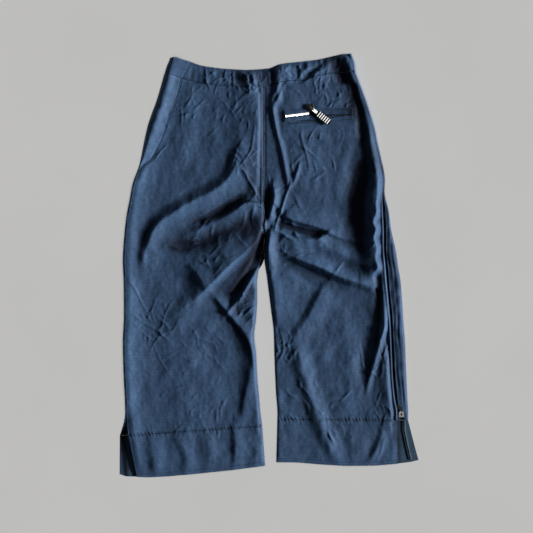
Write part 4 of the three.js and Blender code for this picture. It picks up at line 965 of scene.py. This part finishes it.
def back_waistband():
    t = divisions(WAISTBAND_HEIGHT, rim=3)
    left = sections(LEFT_BAND_END, END_COLUMNS, t)
    right = sections(RIGHT_BAND_END, END_COLUMNS, t)
    u = divisions(WAISTBAND_WIDTH)[None, :]
    x = mix(left["back"], right["back"], u)
    y = band_y(x, t[:, None])
    ends = ease((x - left["back"]) / SEAM_BLEND) * ease((right["back"] - x) / SEAM_BLEND)
    z = mix(mix(left["turn_z"], right["turn_z"], u), field_at(x, y), ends)
    t = t[:, None]
    z = mix(z, EDGE_TOP + BAND_EDGE["above"], last_part(t, BAND_EDGE["over"]) * BAND_EDGE["share"])
    z += GATHER["height"] * gathers(x) * ends * ease(t * 8) * ease((1 - t) * 5)
    z -= seam_dip(t * WAISTBAND_HEIGHT)
    top = np.stack([x, y, z], -1)
    piece = sheet_of("waistband_back_cloth", top, beneath(top), NAVY)
    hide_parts("waistband_back")
    return piece


def gathers(x):
    phase = x * 2 * math.pi / GATHER["pitch"]
    return np.sin(phase + 1.7 * np.sin(x / 31)) + 0.7 * np.sin(phase * 0.43 + 1)


def front_waistband():
    t = divisions(WAISTBAND_HEIGHT, rim=3)
    left = turned_side(sections(LEFT_BAND_END, END_COLUMNS, t))
    right = turned_side(sections(RIGHT_BAND_END, END_COLUMNS, t))
    across = np.arange(1, 2 * FLOOR_COLUMNS)[None, :] / (2 * FLOOR_COLUMNS)
    floor_x = mix(left[:, :1, 0], right[:, :1, 0], across)
    middle = ease(across * 2.7) * ease((1 - across) * 2.7)
    zeros = np.zeros_like(floor_x)
    x = np.concatenate([left[:, ::-1, 0], floor_x, right[..., 0]], 1)
    z = np.concatenate([left[:, ::-1, 1], zeros, right[..., 1]], 1)
    drop = np.concatenate([0 * left[..., 0], zeros + middle, 0 * right[..., 0]], 1) * FRONT_WAIST_DROP
    outer = np.stack([x, band_y(x, t[:, None], drop), z], -1)
    piece = sheet_of("waistband_front_cloth", outer, inside_of(outer, 1), NAVY)
    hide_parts("waistband_front")
    return piece


# Hem bands
def hem_grid(hem, left, right, t, u):
    x = mix(mix(*left, t), mix(*right, t), u)
    return x, mix(along(hem["seam"], x) - SEAM_GAP, along(hem["bottom"], x), t)


def back_hem(side, hem, vent_first):
    t = divisions(HEM_HEIGHT, rim=3)[:, None]
    u = divisions(HEM_WIDTH)[None, :]
    x, y = hem_grid(hem, hem["back_left"], hem["back_right"], t, u)
    from_vent = (u if vent_first else 1 - u) * HEM_WIDTH
    from_inseam = HEM_WIDTH - from_vent
    vent_z = mix(VENT_Z, VENT_BOTTOM_Z, t if vent_first else 1 + 0 * t)
    vent = mix(vent_z, field_at(x, y), ease(from_vent / SEAM_BLEND))
    z = mix(EDGE_TOP, vent, rounded(from_inseam / EDGE_ROLL))
    z = mix(z, EDGE_TOP + HEM_EDGE["above"], last_part(t, HEM_EDGE["over"]) * HEM_EDGE["share"])
    z += hem_puckers(x, y, hem)
    top = np.stack([x, y, z], -1)
    piece = sheet_of(f"hem_back_{side}_cloth", top, beneath(top), NAVY)
    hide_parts(f"hem_back_{side}")
    return piece


def front_hem(side, hem):
    t = divisions(HEM_HEIGHT, step=4, rim=3)[:, None]
    u = divisions(HEM_WIDTH, step=4)[None, :]
    x, y = hem_grid(hem, hem["front_left"], hem["front_right"], t, u)
    under = np.stack([x, y, 0 * x], -1)
    top = under + (0, 0, CLOTH)
    piece = sheet_of(f"hem_front_{side}_cloth", top, under, LINING)
    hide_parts(f"hem_front_{side}")
    return piece


# Side zip
def zip_x(y):
    """Where the side zip runs at height y, between the front's turned end and the back's edge."""
    line = [(-row[0], (row[4] + row[6]) / 2) for row in RIGHT_LEG if row[0] < 150]
    return along(line, -y)


def toothed(offset, rows, coil_half, low, high):
    """Heights across a zip tape: flat, with a coil in the middle whose teeth alternate from side to side."""
    coil = np.clip(1 - (offset / coil_half) ** 4, 0, 1)
    phase = np.where(offset > 0, 0, math.pi)
    teeth = 0.5 + 0.5 * np.cos(rows[:, None] * 2 * math.pi / ZIP_TEETH + phase)
    return low + (high - low) * coil * mix(1, teeth, TEETH_DEPTH)


def tape_rows(top, bottom):
    """Rows down a zip tape, four to each tooth and odd in number."""
    y = np.arange(top, bottom, -ZIP_TEETH / 4)
    return y[:len(y) // 2 * 2 - 1]


def tape_sheet(name, x, y, z, under_z, material):
    """A tape with a flat under side."""
    top = np.stack([x, y[:, None] + 0 * x, z], -1)
    under = top.copy()
    under[..., 2] = under_z
    return sheet_of(name, top, under, material)


def side_zip():
    y = tape_rows(ZIP["top"], ZIP["bottom"])
    offset = np.array(ZIP_ACROSS, float)
    x = zip_x(y)[:, None] + offset
    z = toothed(offset, y, ZIP["coil_half"], ZIP["z"] + ZIP["thick"], ZIP["coil_top"])
    piece = tape_sheet("side_zip_cloth", x, y, z, ZIP["z"], TAPE)
    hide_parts("side_zip")
    return piece


def vent_zip():
    """The front half of the open zip, out along the front hem's edge."""
    y = tape_rows(-VENT_LINE[0][0], -VENT_LINE[-1][0])
    offset = np.array(VENT_ACROSS, float)
    x = along(VENT_LINE, -y)[:, None] + offset
    flat = VENT_TAPE["z"] + VENT_TAPE["thick"]
    z = toothed(offset - VENT_TAPE["coil"], y, VENT_TAPE["coil_half"], flat, VENT_TAPE["coil_top"])
    piece = tape_sheet("side_zip_open_tape_cloth", x, y, z, VENT_TAPE["z"], VENT)
    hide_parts("side_zip_open_tape")
    return piece


def inseam_edge(table, y):
    """A leg's inner edge at height y."""
    row = sections(table, LEG_COLUMNS, divisions(LEG_LENGTH))
    return np.interp(-y, -row["inner_y"][:, 0], row["inner"][:, 0])


def crotch_shade_strip():
    """A near-black cloth strip on the table that closes the gap between the legs below the crotch, as painted
    shade where the shade between the legs falls.
    """
    u = np.linspace(0, 1, 5)
    bottom = mix(CROTCH_SHADE_STRIP["bottom_left"], CROTCH_SHADE_STRIP["bottom_right"], u)
    y = mix(CROTCH_SHADE_STRIP["top"], bottom, np.linspace(0, 1, 41)[:, None])
    left = inseam_edge(LEFT_LEG, y) + CROTCH_SHADE_STRIP["gap"]
    right = inseam_edge(RIGHT_LEG, y) - CROTCH_SHADE_STRIP["gap"]
    x = mix(left, right, u)
    under = np.stack([x, y, 0 * x], -1)
    piece = sheet_of("crotch_shade_strip", under + (0, 0, CLOTH), under, TAPE)
    return piece


# Back pocket, in its own frame
def in_pocket(points):
    """Points of the pocket's own frame, in the garment's."""
    angle = math.radians(POCKET["angle"])
    x, y, z = points[..., 0], points[..., 1], points[..., 2]
    return np.stack([POCKET["x"] + x * math.cos(angle) - y * math.sin(angle),
                     POCKET["y"] + x * math.sin(angle) + y * math.cos(angle), POCKET["z"] + z], -1)


def pocket_tape():
    half = POCKET_TAPE["half"]
    x = np.linspace(POCKET_TAPE["start"], POCKET["length"], 49)[None, :] + np.zeros((11, 1))
    y = np.linspace(-half, half, 11)[:, None] + 0 * x
    top = np.stack([x, y, POCKET_TAPE["z"] + 0 * x], -1)
    under = top - (0, 0, POCKET_TAPE["thick"])
    piece = sheet_of("pocket_zip_tape_cloth", in_pocket(top), in_pocket(under), TAPE)
    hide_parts("pocket_zip_tape")
    return piece


def welt(name, lip, outer_y):
    """One side of the pocket's opening: a rolled lip that thins out to the stitching."""
    x = np.linspace(WELT["start"], POCKET["length"], 145)[None, :]
    t = divisions(WELT["width"], step=0.8, rim=2, fine=0.4)[:, None]
    lip_y = through(lip, np.interp(x[0], [p[0] for p in lip], np.arange(len(lip))))[:, 1][None, :]
    y = mix(lip_y, outer_y, t)
    depth = np.abs(y - lip_y)
    thinner = 1 - WELT["flattened"] * ease((depth - WELT["flat_from"]) / WELT["flat_over"])
    z = WELT["z"] + WELT["height"] * rounded(depth / WELT["roll"]) * thinner
    z += WELT["ripple"] * np.sin(x / 3.1 + np.sin(x / 7)) * ease((9 - depth) / 6)
    x = x + 0 * y
    top = np.stack([x, y, z], -1)
    under_z = np.maximum(WELT["under_low"], np.minimum(z - WELT["thick"], WELT["under_high"]))
    under = np.stack([x, y, under_z], -1)
    piece = sheet_of(f"{name}_cloth", in_pocket(top), in_pocket(under), NAVY)
    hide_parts(name)
    return piece


def block(bm, centre, size, place):
    """A box added to bm, with place giving each corner's place in the garment."""
    for v in bmesh.ops.create_cube(bm, size=1)["verts"]:
        v.co = Vector(place(np.array(centre) + np.array(v.co) * size) * MM)


def blocks(name, bm, material, width):
    """The piece that a set of boxes makes, with its edges rounded by width."""
    mesh = bpy.data.meshes.new(name)
    bm.to_mesh(mesh)
    bm.free()
    piece = finished(name, mesh, material, sharp_angle=SHARP_EDGE)
    bevelled(piece, width)
    return piece


def bevelled(piece, width):
    bevel = piece.modifiers.new("edges", "BEVEL")
    bevel.width = width * MM
    bevel.segments = 2
    return bevel


def turned(point, angle):
    """A point turned round Z by an angle in degrees."""
    c, s = math.cos(math.radians(angle)), math.sin(math.radians(angle))
    return np.array((point[0] * c - point[1] * s, point[0] * s + point[1] * c, point[2]))


def pocket_chain():
    """Metal teeth from both sides, interlocked along the closed part of the pocket zip."""
    def place(point):
        return in_pocket(turned(point, CHAIN["angle"]))

    bm = bmesh.new()
    middle = (CHAIN["start"] + CHAIN["end"]) / 2
    top = CHAIN["z"] + CHAIN["thick"] / 2
    length, sunk = CHAIN["end"] - CHAIN["start"], CHAIN["bar_sunk"]
    block(bm, (middle, 0, top - sunk), (length, CHAIN["bar"], CHAIN["thick"] - 2 * sunk), place)
    for i in range(int(2 * length / CHAIN["pitch"])):
        along_zip = CHAIN["start"] + (i + 0.5) * CHAIN["pitch"] / 2
        side = CHAIN["reach"] if i % 2 else -CHAIN["reach"]
        block(bm, (along_zip, side, top), (CHAIN["tooth"], CHAIN["length"], CHAIN["thick"]), place)
    piece = blocks("pocket_zip_teeth", bm, METAL, 0.2)
    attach(piece, "pants")
    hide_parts("pocket_zip_chain")
    return piece


def grip_ribs():
    """Pale ribs across the puller's rubber grip, their pale colour partly the rubber's own and partly a
    painted highlight.
    """
    def place(point):
        return turned(point, PULLER["angle"]) + (PULLER["x"], PULLER["y"], POCKET["z"])

    bm = bmesh.new()
    for i in range(GRIP_RIB["count"]):
        centre = (GRIP_RIB["first"] + i * GRIP_RIB["pitch"], 0, GRIP_RIB["z"] + GRIP_RIB["thick"] / 2)
        block(bm, centre, (GRIP_RIB["width"], GRIP_RIB["length"], GRIP_RIB["thick"]), place)
    piece = blocks("pocket_pull_grip_ribs", bm, RIB, 0.3)
    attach(piece, "pocket_pull")
    return piece


# Hard pieces
def rounded_copy(node, material, width):
    """A solid's own shape, drawn in a hair's breadth so that it turns freely, with edges rounded by width."""
    source = frame["nodes"][node]
    mesh = source.data.copy()
    mesh.name = f"{node}_piece"
    mesh.materials.clear()
    bm = bmesh.new()
    bm.from_mesh(mesh)
    bmesh.ops.remove_doubles(bm, verts=bm.verts, dist=SAME_POINT * MM)
    bmesh.ops.dissolve_limit(bm, angle_limit=math.radians(FLAT_ANGLE), verts=bm.verts, edges=bm.edges)
    bmesh.ops.recalc_face_normals(bm, faces=bm.faces)
    for v in bm.verts:
        v.co -= v.normal * DRAWN_IN * MM
    bm.to_mesh(mesh)
    bm.free()
    piece = finished(f"{node}_piece", mesh, material, sharp_angle=SHARP_EDGE)
    bevel = bevelled(piece, width)
    bevel.limit_method = "ANGLE"
    bevel.angle_limit = math.radians(SHARP_EDGE)
    bevel.harden_normals = True
    body = next(name for name, nodes in frame["record"]["behaviour"]["bodies"].items() if node in nodes)
    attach(piece, body)
    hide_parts(node)
    return piece


# Sewing
def sewn(name, path, piece):
    """A row of stitches along a path of (x, y) in millimetres, laid on the top of a piece."""
    vertices = [v.co for v in piece.data.vertices]
    tops = BVHTree.FromPolygons(vertices, [p.vertices for p in piece.data.polygons])
    path = np.array(path, float)
    places = np.concatenate([[0], np.cumsum(np.hypot(*np.diff(path, axis=0).T))])
    points, faces = [], []
    above, down = STITCH["dropped_from"], Vector((0, 0, -1))
    lifts = (-STITCH["sunk"], STITCH["proud"], STITCH["proud"], -STITCH["sunk"])
    for start in np.arange(STITCH["gap"], places[-1] - STITCH["length"], STITCH["length"] + STITCH["gap"]):
        at = start + STITCH["length"] * np.array((0, 0.2, 0.8, 1))
        stations = np.stack([np.interp(at, places, path[:, 0]), np.interp(at, places, path[:, 1])], -1)
        hits = [tops.ray_cast(Vector((x * MM, y * MM, above * MM)), down)[0] for x, y in stations]
        if None in hits:
            continue
        heading = stations[-1] - stations[0]
        sideways = np.array((-heading[1], heading[0])) / np.linalg.norm(heading) * STITCH["width"] / 2
        base = len(points)
        for station, hit, lift in zip(stations, hits, lifts):
            for across, up in ((-1, 0), (0, 1), (1, 0), (0, -1)):
                z = hit.z / MM + lift + up * STITCH["width"] * STITCH["flat"]
                points.append((*(station + sideways * across), z))
        for a in range(base, base + 12, 4):
            faces += [(a + c, a + (c + 1) % 4, a + (c + 1) % 4 + 4, a + c + 4) for c in range(4)]
        faces += [(base, base + 1, base + 2, base + 3), (base + 15, base + 14, base + 13, base + 12)]
    mesh = bpy.data.meshes.new(name)
    mesh.from_pydata((np.array(points) * MM).tolist(), [], faces)
    set_painted_shading(mesh, np.full(len(points), STITCH["pale"]))
    row = finished(name, mesh, THREAD)
    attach(row, "pants")
    return row


def moved(path, y):
    """A path moved up by y."""
    return [(px, py + y) for px, py in path]


def side_path(table, column, x, low, high):
    """Beside one of a leg table's columns, x further right, from height low to high."""
    k = LEG_COLUMNS.index(column)
    return [(row[k] + x, row[0]) for row in table if low <= row[0] <= high]


def sewing(cloth):
    """Stitched rows that show: name, sheet and path."""
    start, end, half = SEWN["pocket_start"], POCKET["length"], SEWN["pocket_half"]
    corners = ((start, -half, 0), (start, half, 0), (end, half, 0), (end, -half, 0), (start, -half, 0))
    left, right = SEWN["centre_left"], SEWN["centre_right"]
    rows = [
        ("waist_seam", "back_band", moved(WAIST_SEAM, SEWN["waist"])),
        ("waist_edge", "back_band", moved(WAIST_TOP, SEWN["waist_top"])),
    ]
    for side, hem in (("left", LEFT_HEM), ("right", RIGHT_HEM)):
        rows += [
            (f"{side}_hem_seam", f"back_{side}_hem", moved(hem["seam"], -SEWN["hem"])),
            (f"{side}_shin_seam", f"back_{side}", moved(hem["seam"], SEWN["hem"])),
            (f"{side}_hem_edge", f"back_{side}_hem", moved(hem["bottom"], SEWN["hem_bottom"])),
        ]
    rows += [
        ("centre_left", "back_left", ((left, 120), (left, 370))),
        ("centre_right", "back_right", ((right, 120), (right, 372))),
        ("pocket_outline", "back_right", in_pocket(np.array(corners, float))[:, :2]),
        ("zip_back_edge", "back_right", side_path(RIGHT_LEG, "back", -SEWN["zip_side"], -322, 150)),
        ("zip_front_edge", "front_right", side_path(RIGHT_LEG, "turn", SEWN["zip_side"], -300, 110)),
        ("left_hip", "back_left", side_path(LEFT_LEG, "back", SEWN["hip_back"], 220, 391)),
        ("left_hip_front", "front_left", side_path(LEFT_LEG, "turn", SEWN["hip_front"], 240, 391)),
    ]
    for name, sheet, path in rows:
        sewn(f"{name}_stitches", path, cloth[sheet])


# Light, floor and camera
def sun(name, energy, softness, azimuth, elevation, pieces, state):
    """A soft lamp that lights only these pieces (state INCLUDE) or all but these (EXCLUDE)."""
    lamp = bpy.data.lights.new(name, "SUN")
    lamp.energy = energy
    lamp.angle = math.radians(softness)
    lamp.color = (1.0, 0.99, 0.97)
    made = bpy.data.objects.new(name, lamp)
    azimuth, elevation = math.radians(azimuth), math.radians(elevation)
    towards = Vector((math.cos(elevation) * math.cos(azimuth),
                      math.cos(elevation) * math.sin(azimuth), math.sin(elevation)))
    made.rotation_euler = towards.to_track_quat("Z", "Y").to_euler()
    bpy.context.scene.collection.objects.link(made)
    linked = bpy.data.collections.new(f"{name}_lights")
    for piece in pieces:
        linked.objects.link(piece)
    for entry in linked.collection_objects:
        entry.light_linking.link_state = state
    made.light_linking.receiver_collection = linked


def stage():
    bpy.ops.mesh.primitive_plane_add(size=FLOOR["size"], location=(0, 0, FLOOR["z"] * MM))
    floor = bpy.context.object
    floor.name = "floor"
    made, nodes, links, shader, at = principled("pale_floor", 0.9, Specular_IOR_Level=0.1)
    pale = [(place, (level, level, level)) for place, level in FLOOR["paint"]]
    paint = ramp(nodes, links, noise(nodes, links, at, FLOOR["scale"]), pale)
    links.new(paint, shader.inputs["Base Color"])
    floor.data.materials.append(made)

    sun("key", KEY["energy"], KEY["softness"], KEY["azimuth"], KEY["elevation"], [floor], "EXCLUDE")
    world = bpy.data.worlds.new("studio")
    world.use_nodes = True
    world.node_tree.nodes["Background"].inputs["Color"].default_value = (0.95, 0.98, 1.0, 1)
    world.node_tree.nodes["Background"].inputs["Strength"].default_value = FILL
    bpy.context.scene.world = world
    bpy.context.scene.view_settings.view_transform = "Standard"
    return floor


def camera():
    made = bpy.data.cameras.new("camera")
    made.sensor_width = 36
    made.lens = made.sensor_width * CAMERA["height"] / (PHOTO_PIXELS * PIXEL)
    shot = bpy.data.objects.new("camera", made)
    shot.location = (CAMERA["x"] * MM, CAMERA["y"] * MM, CAMERA["height"] * MM)
    bpy.context.scene.collection.objects.link(shot)
    bpy.context.scene.camera = shot


camera()
floor = stage()
FIELD = cloth_field()
# painted shade in the folds and painted highlight on the crests, which every cloth sheet's colour reads
PAINTED_SHADING_GRID = painted_shading_of(FIELD)

# Cloth
cloth = {
    "front_left": front_leg("left", LEFT_LEG),
    "front_right": front_leg("right", RIGHT_LEG),
    "front_band": front_waistband(),
    "front_left_hem": front_hem("left", LEFT_HEM),
    "front_right_hem": front_hem("right", RIGHT_HEM),
    "back_left": back_leg("left", LEFT_LEG, LEFT_HEM),
    "back_right": back_leg("right", RIGHT_LEG, RIGHT_HEM),
    "back_band": back_waistband(),
    "back_left_hem": back_hem("left", LEFT_HEM, True),
    "back_right_hem": back_hem("right", RIGHT_HEM, False),
}
sewing(cloth)
side_zip()
vent_zip()
crotch_shade_strip()
pocket_tape()
for row in WELTS:
    welt(*row)

# Metal and rubber
bright = [
    pocket_chain(),
    grip_ribs(),
    rounded_copy("pocket_end_stop", METAL, 0.3),
    rounded_copy("pocket_pull_link", METAL, 0.2),
    rounded_copy("side_pull_tab", DULL_METAL, 0.2),
]
rounded_copy("side_slider", DULL_METAL, 0.25)
rounded_copy("pocket_slider", BRONZE, 0.3)
rounded_copy("pocket_pull_ring", METAL, 0.2)
rounded_copy("pocket_pull_grip", RUBBER, 0.3)
sun("overhead", OVERHEAD["energy"], OVERHEAD["softness"], 0, 90, [floor, *bright], "INCLUDE")
